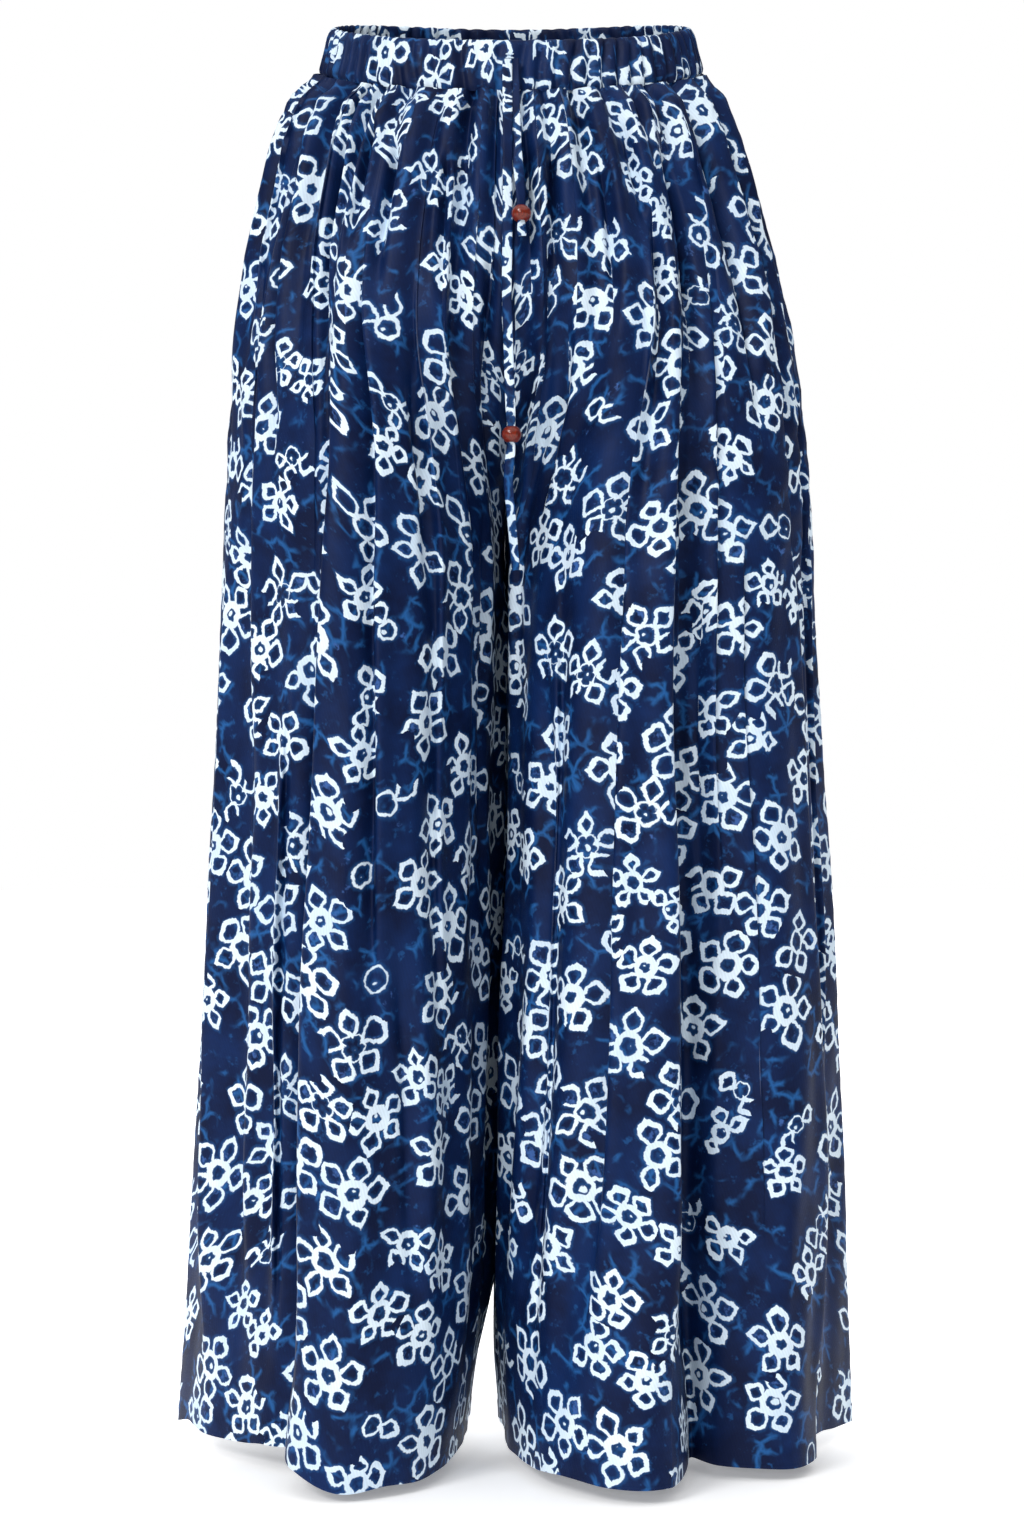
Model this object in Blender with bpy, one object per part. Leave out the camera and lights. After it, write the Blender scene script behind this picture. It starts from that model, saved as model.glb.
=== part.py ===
"""Wide-leg trousers with a ruched elastic waistband and a beaded drawstring.

Metres, +Z up, front towards -Y. The wearer's left leg is at +X. The origin is the middle of the
waist, where a body or a hanger holds the garment. The cloth keeps its hollow, filled-out form.
Each cut piece is a wall of its own, and the pieces stand 0.4 mm apart along their seams.
"""

from collections import namedtuple
from math import cos, exp, pi, radians, sin

import bmesh
import bpy
from mathutils import Vector

# ---- driving sizes ---------------------------------------------------------------------------
CLOTH_WALL = 0.0016          # wall of the leg panels
SEAM_HALF_GAP = 0.0002       # each panel stops this far from the middle of its seam
PIECE_GAP = 0.0003           # between the band and the panels, and between a cord and a bead

WAIST_SEAM_Z = -0.013        # seam under the band, at the side of the waist
FRONT_DIP = 0.034            # the front of the waist sits this much lower than its side
BACK_RISE = 0.021            # and the back this much higher
TILT_REACH = 0.330           # the dip and the rise have died out this far below the band
CLEFT_TOP_Z = -0.090         # where the two legs begin to part, in front and behind
CROTCH_Z = -0.380            # where the four leg seams meet
HEM_Z = -0.955               # level of the hems
WAIST_OVAL_POWER = 2.2       # 2 is an ellipse, more is squarer
INSEAM_LEAN = 0.006          # the inseam of the right leg leans this far into the left leg

BAND_HEIGHT = 0.0320
BAND_FRONT_EXTRA = 0.0035    # the band stands this much taller at the middle of the front
BAND_WALL = 0.0034           # elastic between two layers of cloth
BAND_LEAN = 0.0075           # the top edge of the band lies this far inside its foot
BAND_RUCHES = 72
RUCHE_DEPTH = 0.0011

GATHER_DEPTH = 0.0036        # the small gathers just under the band
GATHER_SHARE = 0.048         # gathers closer together than this are shallower
GATHER_FADE = 0.240          # distance over which they run out into the long folds
GATHER_CROWDING = 1.45       # over 1, the gathers stand closer together towards the centre seams
FOLD_GROWTH = 1.05           # how fast a fold deepens on its way down to the hem

CORD_DIAMETER = 0.0036
CORD_SPACING = 0.0095        # distance between the points along a cord
BEAD_DIAMETER = 0.0128
BEAD_LENGTH = 0.0112
BEAD_BORE = 0.0046

# ---- tables ----------------------------------------------------------------------------------
# A level of the filled-out form: height, half width of each side, depth of the front and the
# back, and the middle and half width of the space between the legs.
Level = namedtuple("Level", "z right left front back gap_x gap_half")
LEVELS = (
    Level(-0.013, 0.1335, 0.1340, 0.0960, 0.0980, 0.0000, 0.0002),
    Level(-0.030, 0.1465, 0.1460, 0.1060, 0.1090, 0.0000, 0.0002),
    Level(-0.060, 0.1600, 0.1585, 0.1170, 0.1220, 0.0000, 0.0002),
    Level(-0.100, 0.1705, 0.1720, 0.1250, 0.1320, -0.0005, 0.0002),
    Level(-0.143, 0.1825, 0.1845, 0.1310, 0.1410, -0.0010, 0.0002),
    Level(-0.213, 0.1930, 0.1995, 0.1390, 0.1500, -0.0020, 0.0002),
    Level(-0.297, 0.1990, 0.2090, 0.1450, 0.1550, -0.0035, 0.0003),
    Level(-0.368, 0.2025, 0.2125, 0.1490, 0.1570, -0.0050, 0.0005),
    Level(-0.465, 0.2060, 0.2170, 0.1520, 0.1590, -0.0080, 0.0008),
    Level(-0.577, 0.2120, 0.2250, 0.1560, 0.1620, -0.0105, 0.0011),
    Level(-0.690, 0.2180, 0.2305, 0.1590, 0.1650, -0.0127, 0.0015),
    Level(-0.800, 0.2245, 0.2345, 0.1620, 0.1680, -0.0150, 0.0015),
    Level(-0.870, 0.2275, 0.2365, 0.1640, 0.1700, -0.0168, 0.0026),
    Level(-0.955, 0.2330, 0.2390, 0.1660, 0.1720, -0.0195, 0.0115),
)

# A line along a leg panel, on a crest or in a hollow: its place at the crotch level and at the
# hem, as a share of the way round from the inseam to the side seam, how far it stands out of the
# smooth form at the hem, and how far the hem is lifted there.
Fold = namedtuple("Fold", "crotch hem out lift")
FRONT_RIGHT_FOLDS = (
    Fold(0.045, 0.050, 0.004, 0.000),
    Fold(0.090, 0.095, 0.000, 0.000),
    Fold(0.150, 0.140, 0.010, 0.000),
    Fold(0.205, 0.190, 0.009, 0.000),
    Fold(0.260, 0.235, 0.022, 0.000),
    Fold(0.315, 0.280, 0.021, 0.000),
    Fold(0.385, 0.330, 0.036, -0.002),
    Fold(0.450, 0.385, 0.028, -0.001),
    Fold(0.500, 0.455, 0.036, -0.003),
    Fold(0.542, 0.530, 0.018, -0.003),
    Fold(0.576, 0.580, -0.047, 0.006),
    Fold(0.597, 0.604, -0.041, 0.008),
    Fold(0.618, 0.632, -0.052, 0.008),
    Fold(0.670, 0.682, -0.038, 0.007),
    Fold(0.725, 0.732, -0.045, 0.007),
    Fold(0.775, 0.778, -0.031, 0.005),
    Fold(0.825, 0.822, -0.038, 0.004),
    Fold(0.885, 0.880, -0.010, 0.002),
    Fold(0.945, 0.945, -0.013, 0.001),
)
FRONT_LEFT_FOLDS = (
    Fold(0.045, 0.045, -0.004, 0.000),
    Fold(0.085, 0.092, -0.001, 0.000),
    Fold(0.135, 0.140, 0.010, 0.000),
    Fold(0.185, 0.185, 0.008, 0.000),
    Fold(0.245, 0.230, 0.022, 0.000),
    Fold(0.295, 0.272, 0.018, 0.000),
    Fold(0.355, 0.308, 0.037, -0.001),
    Fold(0.405, 0.345, 0.032, 0.000),
    Fold(0.455, 0.405, 0.041, -0.003),
    Fold(0.495, 0.455, 0.028, -0.002),
    Fold(0.532, 0.524, -0.050, 0.001),
    Fold(0.580, 0.580, -0.026, 0.000),
    Fold(0.628, 0.634, -0.017, 0.000),
    Fold(0.685, 0.688, 0.006, -0.001),
    Fold(0.775, 0.772, 0.001, -0.001),
    Fold(0.820, 0.822, -0.038, 0.003),
    Fold(0.883, 0.885, -0.016, 0.003),
    Fold(0.945, 0.940, -0.020, 0.001),
)
BACK_RIGHT_FOLDS = (
    Fold(0.050, 0.050, 0.003, 0.000),
    Fold(0.105, 0.105, -0.007, 0.001),
    Fold(0.165, 0.160, 0.010, 0.000),
    Fold(0.220, 0.210, -0.012, 0.001),
    Fold(0.285, 0.270, 0.019, -0.001),
    Fold(0.345, 0.330, -0.018, 0.002),
    Fold(0.405, 0.400, 0.024, -0.002),
    Fold(0.465, 0.460, -0.006, 0.001),
    Fold(0.520, 0.520, 0.020, -0.001),
    Fold(0.580, 0.590, -0.026, 0.003),
    Fold(0.645, 0.655, 0.016, 0.000),
    Fold(0.700, 0.710, -0.012, 0.002),
    Fold(0.760, 0.765, 0.012, 0.000),
    Fold(0.820, 0.825, -0.018, 0.002),
    Fold(0.880, 0.880, 0.004, 0.000),
    Fold(0.940, 0.940, -0.010, 0.001),
)
BACK_LEFT_FOLDS = (
    Fold(0.045, 0.050, 0.002, 0.000),
    Fold(0.095, 0.100, -0.009, 0.001),
    Fold(0.155, 0.150, 0.006, 0.000),
    Fold(0.205, 0.205, -0.014, 0.001),
    Fold(0.270, 0.260, 0.014, -0.001),
    Fold(0.330, 0.310, -0.008, 0.001),
    Fold(0.390, 0.370, 0.026, -0.002),
    Fold(0.450, 0.440, -0.020, 0.003),
    Fold(0.510, 0.500, 0.015, -0.001),
    Fold(0.560, 0.555, -0.004, 0.000),
    Fold(0.620, 0.625, 0.021, -0.001),
    Fold(0.685, 0.690, -0.024, 0.003),
    Fold(0.745, 0.750, 0.010, 0.000),
    Fold(0.800, 0.805, -0.008, 0.001),
    Fold(0.860, 0.865, 0.007, 0.000),
    Fold(0.930, 0.935, -0.014, 0.001),
)

# A leg panel: its object's name, which side it is on, which way it faces, and its folds.
Panel = namedtuple("Panel", "name side facing folds")
RIGHT, LEFT = -1, 1
FRONT, BACK = -1, 1
PANELS = (
    Panel("front_right", RIGHT, FRONT, FRONT_RIGHT_FOLDS),
    Panel("front_left", LEFT, FRONT, FRONT_LEFT_FOLDS),
    Panel("back_right", RIGHT, BACK, BACK_RIGHT_FOLDS),
    Panel("back_left", LEFT, BACK, BACK_LEFT_FOLDS),
)
PANEL_ROWS = (
    -0.0130, -0.0220, -0.0350, -0.0540, -0.0800, -0.1120, -0.1500, -0.1920, -0.2340, -0.2740,
    -0.3120, -0.3480, -0.3800, -0.4250, -0.4900, -0.5800, -0.6950, -0.8200, -0.9550,
)

# A point of a drawstring end: sideways place, height, and how far its middle stands in front of
# the cloth, or of the furthest forward place that it hung over further up.
Hang = namedtuple("Hang", "x z off")
UPPER_ROUTE = (
    Hang(0.0026, -0.0240, 0.0023), Hang(0.0026, -0.0430, 0.0024), Hang(0.0028, -0.0640, 0.0027),
    Hang(0.0040, -0.0940, 0.0036), Hang(0.0062, -0.1200, 0.0060), Hang(0.0068, -0.1310, 0.0067),
    Hang(0.0068, -0.1430, 0.0067), Hang(0.0074, -0.1520, 0.0062),
)
LOWER_ROUTE = (
    Hang(-0.0024, -0.0240, 0.0023), Hang(-0.0024, -0.0430, 0.0028),
    Hang(-0.0023, -0.0640, 0.0043), Hang(-0.0022, -0.0860, 0.0056),
    Hang(-0.0022, -0.1260, 0.0050), Hang(-0.0024, -0.1600, 0.0054),
    Hang(-0.0026, -0.1920, 0.0052), Hang(-0.0004, -0.2620, 0.0052),
    Hang(0.0004, -0.2750, 0.0052), Hang(0.0004, -0.2870, 0.0052),
    Hang(-0.0016, -0.3100, 0.0052), Hang(0.0004, -0.3364, 0.0052), Hang(0.0032, -0.3700, 0.0052),
)
UPPER_BEAD_Z = -0.1370
LOWER_BEAD_Z = -0.2810

# Material: base colour, roughness and metallic value.
Finish = namedtuple("Finish", "colour roughness metallic")
NAVY_CLOTH = Finish((0.012, 0.026, 0.105, 1.0), 0.62, 0.0)
NAVY_BAND = Finish((0.014, 0.030, 0.115, 1.0), 0.66, 0.0)
NAVY_TIE = Finish((0.010, 0.020, 0.085, 1.0), 0.70, 0.0)
STAINED_WOOD = Finish((0.300, 0.045, 0.012, 1.0), 0.28, 0.0)


# ---- curves through the tables -----------------------------------------------------------------
def spline(before, start, end, after, share):
    """Catmull-Rom value between start and end."""
    return 0.5 * (
        2 * start
        + (end - before) * share
        + (2 * before - 5 * start + 4 * end - after) * share**2
        + (3 * start - before - 3 * end + after) * share**3
    )


def level_at(z):
    """The row of LEVELS that a height z falls on, smoothed between its rows."""
    last = len(LEVELS) - 1
    i = 0
    while i < last - 1 and z < LEVELS[i + 1].z:
        i += 1
    share = (z - LEVELS[i].z) / (LEVELS[i + 1].z - LEVELS[i].z)
    rows = [LEVELS[max(0, min(last, i + step))] for step in (-1, 0, 1, 2)]
    return Level(z, *(spline(*values, share) for values in list(zip(*rows))[1:]))


def eased(value):
    """0 to 1 with soft ends."""
    value = max(0.0, min(1.0, value))
    return value * value * (3 - 2 * value)


def parting(z):
    """0 where the section is one oval, 1 where it is two legs."""
    return eased((CLEFT_TOP_Z - z) / (CLEFT_TOP_Z - CROTCH_Z)) ** 1.5


def blended_depth(share, part):
    """Depth of the section at a share of the way from the inner seam to the side seam."""
    oval = max(0.0, cos(share * pi / 2)) ** (2 / WAIST_OVAL_POWER)
    return oval * (1 - part) + max(0.0, sin(share * pi)) * part


def depth_scale(part):
    """Brings the deepest point of a blended section back to the table's depth."""
    return 1 / max(blended_depth(step / 40, part) for step in range(41))


def waist_tilt(frontness):
    """How far the waist's edge lies above its side: frontness is 1 in front and -1 behind."""
    if frontness >= 0:
        return -FRONT_DIP * frontness**1.05
    return BACK_RISE * (1 - (1 + frontness) ** 1.5)


def inseam_lean(x, y, z):
    """The legs press on each other, so both of their inner faces bow to one side."""
    reach = eased((CROTCH_Z - z) / 0.08) * (1 - eased((-0.835 - z) / 0.085))
    return INSEAM_LEAN * reach * exp(-((y / 0.035) ** 2)) * eased(1 - abs(x) / 0.09)


# ---- leg panels --------------------------------------------------------------------------------
def smooth_point(panel, share, z):
    """Point of the smooth form, share of the way from the inner seam to the side seam."""
    level = level_at(z)
    seam_x = level.gap_x + panel.side * level.gap_half
    side_x = panel.side * (level.left if panel.side == LEFT else level.right)
    depth = level.front if panel.facing == FRONT else level.back
    part = parting(z)
    oval_x = sin(share * pi / 2) ** (2 / WAIST_OVAL_POWER)
    leg_x = (1 - cos(share * pi)) / 2
    x = seam_x + (side_x - seam_x) * (oval_x * (1 - part) + leg_x * part)
    y = depth * blended_depth(share, part) * depth_scale(part)
    return x + inseam_lean(x, y, z), panel.facing * (y + SEAM_HALF_GAP)


def fold_lines(panel, z):
    """(share, stand-out, lift) of each line of the panel at height z, with its two seams."""
    part = parting(z)
    waist_shares = [fold.crotch**GATHER_CROWDING for fold in panel.folds]
    room = [b - a for a, b in zip([0.0, *waist_shares], [*waist_shares, 1.0])]
    below = max(0.0, (CROTCH_Z - z) / (CROTCH_Z - HEM_Z))
    down = (WAIST_SEAM_Z - z) / (WAIST_SEAM_Z - HEM_Z)
    drop = WAIST_SEAM_Z - z
    gather = GATHER_DEPTH * min(1.0, 0.35 + drop / 0.03) * (1 - eased(drop / GATHER_FADE))
    lines = [(0.0, 0.0, 0.0)]
    for i, fold in enumerate(panel.folds):
        at_leg = fold.crotch + (fold.hem - fold.crotch) * below
        share = waist_shares[i] + (at_leg - waist_shares[i]) * part
        ripple = gather * min(1.0, min(room[i], room[i + 1]) / GATHER_SHARE)
        out = fold.out * down**FOLD_GROWTH + (ripple if i % 2 == 0 else -ripple)
        lines.append((share, out, fold.lift * eased((down - 0.6) / 0.4)))
    lines.append((1.0, 0.0, 0.0))
    return lines


def column_points(panel, between):
    """Where the mesh has its columns, as (line number, share of the way to the next line)."""
    hems = [0.0, *(fold.hem for fold in panel.folds), 1.0]
    columns = []
    for i in range(len(hems) - 1):
        steps = between if hems[i + 1] - hems[i] > 0.034 else 1
        columns += [(i, step / steps) for step in range(steps)]
    return [*columns, (len(hems) - 2, 1.0)]


def panel_row(panel, columns, z):
    """Outer points of the panel at one level."""
    lines = fold_lines(panel, z)
    fade = (1 - min(1.0, (WAIST_SEAM_Z - z) / TILT_REACH)) ** 2
    points = []
    for i, step in columns:
        (share, out, lift), (next_share, next_out, next_lift) = lines[i], lines[i + 1]
        place = share + (next_share - share) * step
        swell = (1 - cos(pi * step)) / 2
        stand_out = out + (next_out - out) * swell
        lifted = lift + (next_lift - lift) * swell
        x, y = smooth_point(panel, place, z)
        before = smooth_point(panel, max(0.0, place - 0.01), z)
        after = smooth_point(panel, min(1.0, place + 0.01), z)
        along = Vector((after[0] - before[0], after[1] - before[1])).normalized()
        outward = Vector((along.y, -along.x)) * (-panel.side * panel.facing)
        tilt = waist_tilt(-panel.facing * max(0.0, cos(place * pi / 2))) * fade
        points.append(Vector((x + outward.x * stand_out, y + outward.y * stand_out, z + tilt + lifted)))
    return points


def inner_row(panel, row):
    """The same row moved in by the wall, square to the row in plan."""
    moved = []
    last = len(row) - 1
    for i, point in enumerate(row):
        along = row[min(last, i + 1)] - row[max(0, i - 1)]
        if i in (0, last) and not (i == 0 and point.z > CROTCH_Z + 0.001):
            along = Vector((0.0, along.y, 0.0))
        along = Vector((along.x, along.y)).normalized()
        inward = Vector((-along.y, along.x)) * (-panel.side * panel.facing)
        moved.append(point + Vector((inward.x, inward.y, 0.0)) * CLOTH_WALL)
    return moved


def add_wall(bm, outer, inner):
    """A closed wall between two grids of points of the same size."""
    sheets = [[[bm.verts.new(point) for point in row] for row in grid] for grid in (outer, inner)]
    rows, columns = len(outer), len(outer[0])
    for sheet in sheets:
        for r in range(rows - 1):
            for c in range(columns - 1):
                corners = (sheet[r][c], sheet[r + 1][c], sheet[r + 1][c + 1], sheet[r][c + 1])
                bm.faces.new(corners)
    rim = [(0, c) for c in range(columns)]
    rim += [(r, columns - 1) for r in range(1, rows)]
    rim += [(rows - 1, c) for c in range(columns - 2, -1, -1)]
    rim += [(r, 0) for r in range(rows - 2, 0, -1)]
    for (r, c), (next_r, next_c) in zip(rim, rim[1:] + rim[:1]):
        outside, inside = sheets
        bm.faces.new((outside[r][c], outside[next_r][next_c], inside[next_r][next_c], inside[r][c]))


def make_panel(panel):
    columns = column_points(panel, 2)
    outer = [panel_row(panel, columns, z) for z in PANEL_ROWS]
    inner = [inner_row(panel, row) for row in outer]
    bm = bmesh.new()
    add_wall(bm, outer, inner)
    return finished(panel.name, bm, NAVY_CLOTH)


# ---- waistband ---------------------------------------------------------------------------------
# The band's section: share of its height, share of its wall from the inside, share of the ruche.
Profile = namedtuple("Profile", "height wall ruche")
BAND_PROFILE = (
    Profile(0.00, 0.00, 0.0),
    Profile(0.00, 1.00, 0.6),
    Profile(0.30, 1.15, 1.0),
    Profile(0.72, 1.12, 1.0),
    Profile(0.95, 0.92, 0.6),
    Profile(1.00, 0.50, 0.2),
    Profile(0.95, 0.08, -0.3),
    Profile(0.50, -0.04, -0.6),
)


def oval_point(turn, half_width, half_depth):
    power = 2 / WAIST_OVAL_POWER
    across = abs(sin(turn)) ** power * (1 if sin(turn) >= 0 else -1)
    along = abs(cos(turn)) ** power * (1 if cos(turn) >= 0 else -1)
    return half_width * across, -half_depth * along


def band_point(turn, ruche, profile):
    """Point of the band, turn radians round from the front, towards the wearer's left."""
    foot = LEVELS[0]
    depth = foot.front + (foot.back - foot.front) * (1 - cos(turn)) / 2
    lean = BAND_LEAN * profile.height
    out = BAND_WALL * (profile.wall - 1.3) + ruche * profile.ruche * RUCHE_DEPTH - lean
    x, y = oval_point(turn, foot.left + out, depth + out)
    height = BAND_HEIGHT + BAND_FRONT_EXTRA * max(0.0, cos(turn)) ** 2
    z = WAIST_SEAM_Z + PIECE_GAP + waist_tilt(cos(turn)) + height * profile.height
    return Vector((x, y, z))


def make_band():
    bm = bmesh.new()
    rings = []
    for step in range(2 * BAND_RUCHES):
        turn = 2 * pi * step / (2 * BAND_RUCHES)
        ruche = 1 if step % 2 == 0 else -1
        rings.append([bm.verts.new(band_point(turn, ruche, profile)) for profile in BAND_PROFILE])
    count = len(BAND_PROFILE)
    for ring, next_ring in zip(rings, rings[1:] + rings[:1]):
        for i in range(count):
            j = (i + 1) % count
            bm.faces.new((ring[i], next_ring[i], next_ring[j], ring[j]))
    return finished("waistband", bm, NAVY_BAND)


# ---- drawstring --------------------------------------------------------------------------------
def route_points(route):
    """The route as points in space, lying on the cloth and then hanging plumb in front of it."""
    points = []
    foot_z = WAIST_SEAM_Z - FRONT_DIP
    cloth = 0.0
    for hang in route:
        if hang.z > foot_z:
            up = (hang.z - foot_z) / (BAND_HEIGHT + BAND_FRONT_EXTRA)
            cloth = BAND_LEAN * up + BAND_WALL * 0.15 - LEVELS[0].front - RUCHE_DEPTH
        else:
            level_z = hang.z + FRONT_DIP * (1 - min(1.0, -hang.z / TILT_REACH)) ** 2
            part = parting(level_z)
            cloth = min(cloth, -level_at(level_z).front * (1 - part) * depth_scale(part))
        points.append(Vector((hang.x, cloth - hang.off, hang.z)))
    return points


def evenly_spaced(points, spacing):
    """Points at one spacing along a smooth curve through the given ones."""
    dense = []
    last = len(points) - 1
    for i in range(last):
        near = [points[max(0, min(last, i + step))] for step in (-1, 0, 1, 2)]
        dense += [Vector([spline(*axis, step / 24) for axis in zip(*near)]) for step in range(24)]
    dense.append(points[-1])
    lengths = [0.0]
    for a, b in zip(dense, dense[1:]):
        lengths.append(lengths[-1] + (b - a).length)
    count = max(3, round(lengths[-1] / spacing))
    result = []
    i = 0
    for step in range(count + 1):
        target = lengths[-1] * step / count
        while i < len(dense) - 2 and lengths[i + 1] < target:
            i += 1
        share = (target - lengths[i]) / (lengths[i + 1] - lengths[i])
        result.append(dense[i].lerp(dense[i + 1], min(1.0, share)))
    return result


def make_cord(name, route):
    points = evenly_spaced(route_points(route), CORD_SPACING)
    curve = bpy.data.curves.new(name, "CURVE")
    curve.dimensions = "3D"
    curve.bevel_depth = CORD_DIAMETER / 2
    curve.bevel_resolution = 2
    curve.use_fill_caps = True
    line = curve.splines.new("POLY")
    line.points.add(len(points) - 1)
    for target, point in zip(line.points, points):
        target.co = (*point, 1.0)
    cord = bpy.data.objects.new(name, curve)
    bpy.context.collection.objects.link(cord)
    cord.data.materials.append(material(name + "_material", NAVY_TIE))
    return cord


def make_bead(name, route, z):
    """A barrel bead turned round its bore, with soft edges, threaded on the cord at height z."""
    outer_steps, sides = 9, 24
    profile = [(BEAD_BORE / 2, BEAD_LENGTH * 0.44), (BEAD_BORE / 2, -BEAD_LENGTH * 0.44)]
    for step in range(outer_steps):
        turn = radians(-66 + 132 * step / (outer_steps - 1))
        swell = BEAD_DIAMETER / 2 - 0.0042
        profile.append((0.0042 + swell * cos(turn), BEAD_LENGTH / 2 * sin(turn) / sin(radians(66))))
    bm = bmesh.new()
    rings = []
    for side in range(sides):
        turn = 2 * pi * side / sides
        ring = [bm.verts.new((radius * cos(turn), radius * sin(turn), z)) for radius, z in profile]
        rings.append(ring)
    for ring, next_ring in zip(rings, rings[1:] + rings[:1]):
        for i in range(len(profile)):
            j = (i + 1) % len(profile)
            bm.faces.new((ring[i], next_ring[i], next_ring[j], ring[j]))
    obj = finished(name, bm, STAINED_WOOD)
    points = evenly_spaced(route_points(route), 0.001)
    middle = min(range(len(points)), key=lambda i: abs(points[i].z - z))
    along = points[middle - 5] - points[middle + 5]
    obj.rotation_mode = "QUATERNION"
    obj.rotation_quaternion = along.to_track_quat("Z", "Y")
    obj.location = (points[middle - 5] + points[middle + 5]) / 2
    return obj


# ---- scene -------------------------------------------------------------------------------------
def material(name, finish):
    made = bpy.data.materials.new(name)
    made.use_nodes = True
    shader = made.node_tree.nodes["Principled BSDF"]
    shader.inputs["Base Color"].default_value = finish.colour
    shader.inputs["Roughness"].default_value = finish.roughness
    shader.inputs["Metallic"].default_value = finish.metallic
    made.diffuse_color = finish.colour
    return made


def finished(name, bm, finish):
    """An object from the bmesh, its faces turned outward, smooth, with its own material."""
    bmesh.ops.recalc_face_normals(bm, faces=bm.faces)
    mesh = bpy.data.meshes.new(name)
    bm.to_mesh(mesh)
    bm.free()
    mesh.shade_smooth()
    mesh.set_sharp_from_angle(angle=radians(50))
    obj = bpy.data.objects.new(name, mesh)
    bpy.context.collection.objects.link(obj)
    obj.data.materials.append(material(name + "_material", finish))
    return obj


def clear_scene():
    for obj in list(bpy.data.objects):
        bpy.data.objects.remove(obj, do_unlink=True)


def main():
    clear_scene()
    garment = bpy.data.objects.new("trousers", None)
    bpy.context.collection.objects.link(garment)
    pieces = [make_panel(panel) for panel in PANELS]
    pieces.append(make_band())
    pieces.append(make_cord("drawstring_upper", UPPER_ROUTE))
    pieces.append(make_cord("drawstring_lower", LOWER_ROUTE))
    pieces.append(make_bead("bead_upper", UPPER_ROUTE, UPPER_BEAD_Z))
    pieces.append(make_bead("bead_lower", LOWER_ROUTE, LOWER_BEAD_Z))
    for piece in pieces:
        piece.parent = garment


main()
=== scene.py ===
"""Wide-leg trousers with a ruched elastic waistband and a beaded drawstring, over their solids.

Metres, +Z up, front towards -Y. The wearer's left leg is at +X, and the origin is the middle of the
waist. The four leg panels are thin printed cloth gathered into the band, the band is one strip of
the same cloth folded over elastic, and the drawstring is two flat ties with a wooden bead on each.
"""

from collections import namedtuple
from math import cos, exp, pi, radians, sin

import bpy
import numpy as np
from mathutils import Matrix, Vector


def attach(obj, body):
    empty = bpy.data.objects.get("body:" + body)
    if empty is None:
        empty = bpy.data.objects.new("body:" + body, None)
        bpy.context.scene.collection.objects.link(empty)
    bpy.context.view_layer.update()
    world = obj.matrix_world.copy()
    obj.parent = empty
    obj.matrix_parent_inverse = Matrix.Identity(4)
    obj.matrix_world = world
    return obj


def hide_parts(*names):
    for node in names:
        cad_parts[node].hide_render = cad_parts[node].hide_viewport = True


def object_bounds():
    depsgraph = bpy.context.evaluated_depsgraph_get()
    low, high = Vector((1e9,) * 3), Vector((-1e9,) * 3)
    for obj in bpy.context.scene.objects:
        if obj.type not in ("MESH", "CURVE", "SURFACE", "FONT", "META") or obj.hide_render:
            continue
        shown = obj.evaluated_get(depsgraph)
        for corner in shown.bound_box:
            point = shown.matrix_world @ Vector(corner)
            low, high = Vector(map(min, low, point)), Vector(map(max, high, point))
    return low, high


bl_info = {
    "name": "Wide-leg drawstring trousers",
    "version": (1, 0, 0),
    "blender": (4, 5, 0),
    "location": "3D View > Sidebar > Trousers",
    "description": "Makes the printed cloth, the band, the drawstring and its beads over the frame",
    "category": "Object",
}

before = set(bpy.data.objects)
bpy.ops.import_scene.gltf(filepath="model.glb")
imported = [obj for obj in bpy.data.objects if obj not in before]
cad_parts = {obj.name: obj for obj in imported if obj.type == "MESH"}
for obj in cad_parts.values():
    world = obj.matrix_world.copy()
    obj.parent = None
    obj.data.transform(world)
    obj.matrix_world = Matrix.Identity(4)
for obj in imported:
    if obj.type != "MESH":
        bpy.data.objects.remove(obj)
CAD_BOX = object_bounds()

# ---- driving sizes, the same as the solids have ----
WAIST_SEAM_Z = -0.013        # seam under the band, at the side of the waist
FRONT_DIP = 0.034            # the front of the waist sits this much lower than its side
BACK_RISE = 0.021            # and the back this much higher
TILT_REACH = 0.330           # the dip and the rise have died out this far below the band
CLEFT_TOP_Z = -0.090         # where the two legs begin to part, in front and behind
CROTCH_Z = -0.380            # where the four leg seams meet
HEM_Z = -0.955               # level of the hems
WAIST_OVAL_POWER = 2.2       # 2 is an ellipse, more is squarer
INSEAM_LEAN = 0.007          # the inseam of the right leg leans this far into the left leg

BAND_HEIGHT = 0.0320
BAND_FRONT_EXTRA = 0.0035    # the band stands this much taller at the middle of the front
BAND_WALL = 0.0034           # elastic between two layers of cloth
BAND_LEAN = 0.0075           # the top edge of the band lies this far inside its foot
BAND_RUCHES = 72
RUCHE_DEPTH = 0.0011

GATHER_SHARE = 0.034         # gathers closer together than this are shallower
GATHER_FADE = 0.240          # distance over which they run out into the long folds
GATHER_CROWDING = 1.45       # over 1, the gathers stand closer together towards the centre seams
FOLD_GROWTH = 1.05           # how fast a fold deepens on its way down to the hem

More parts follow.
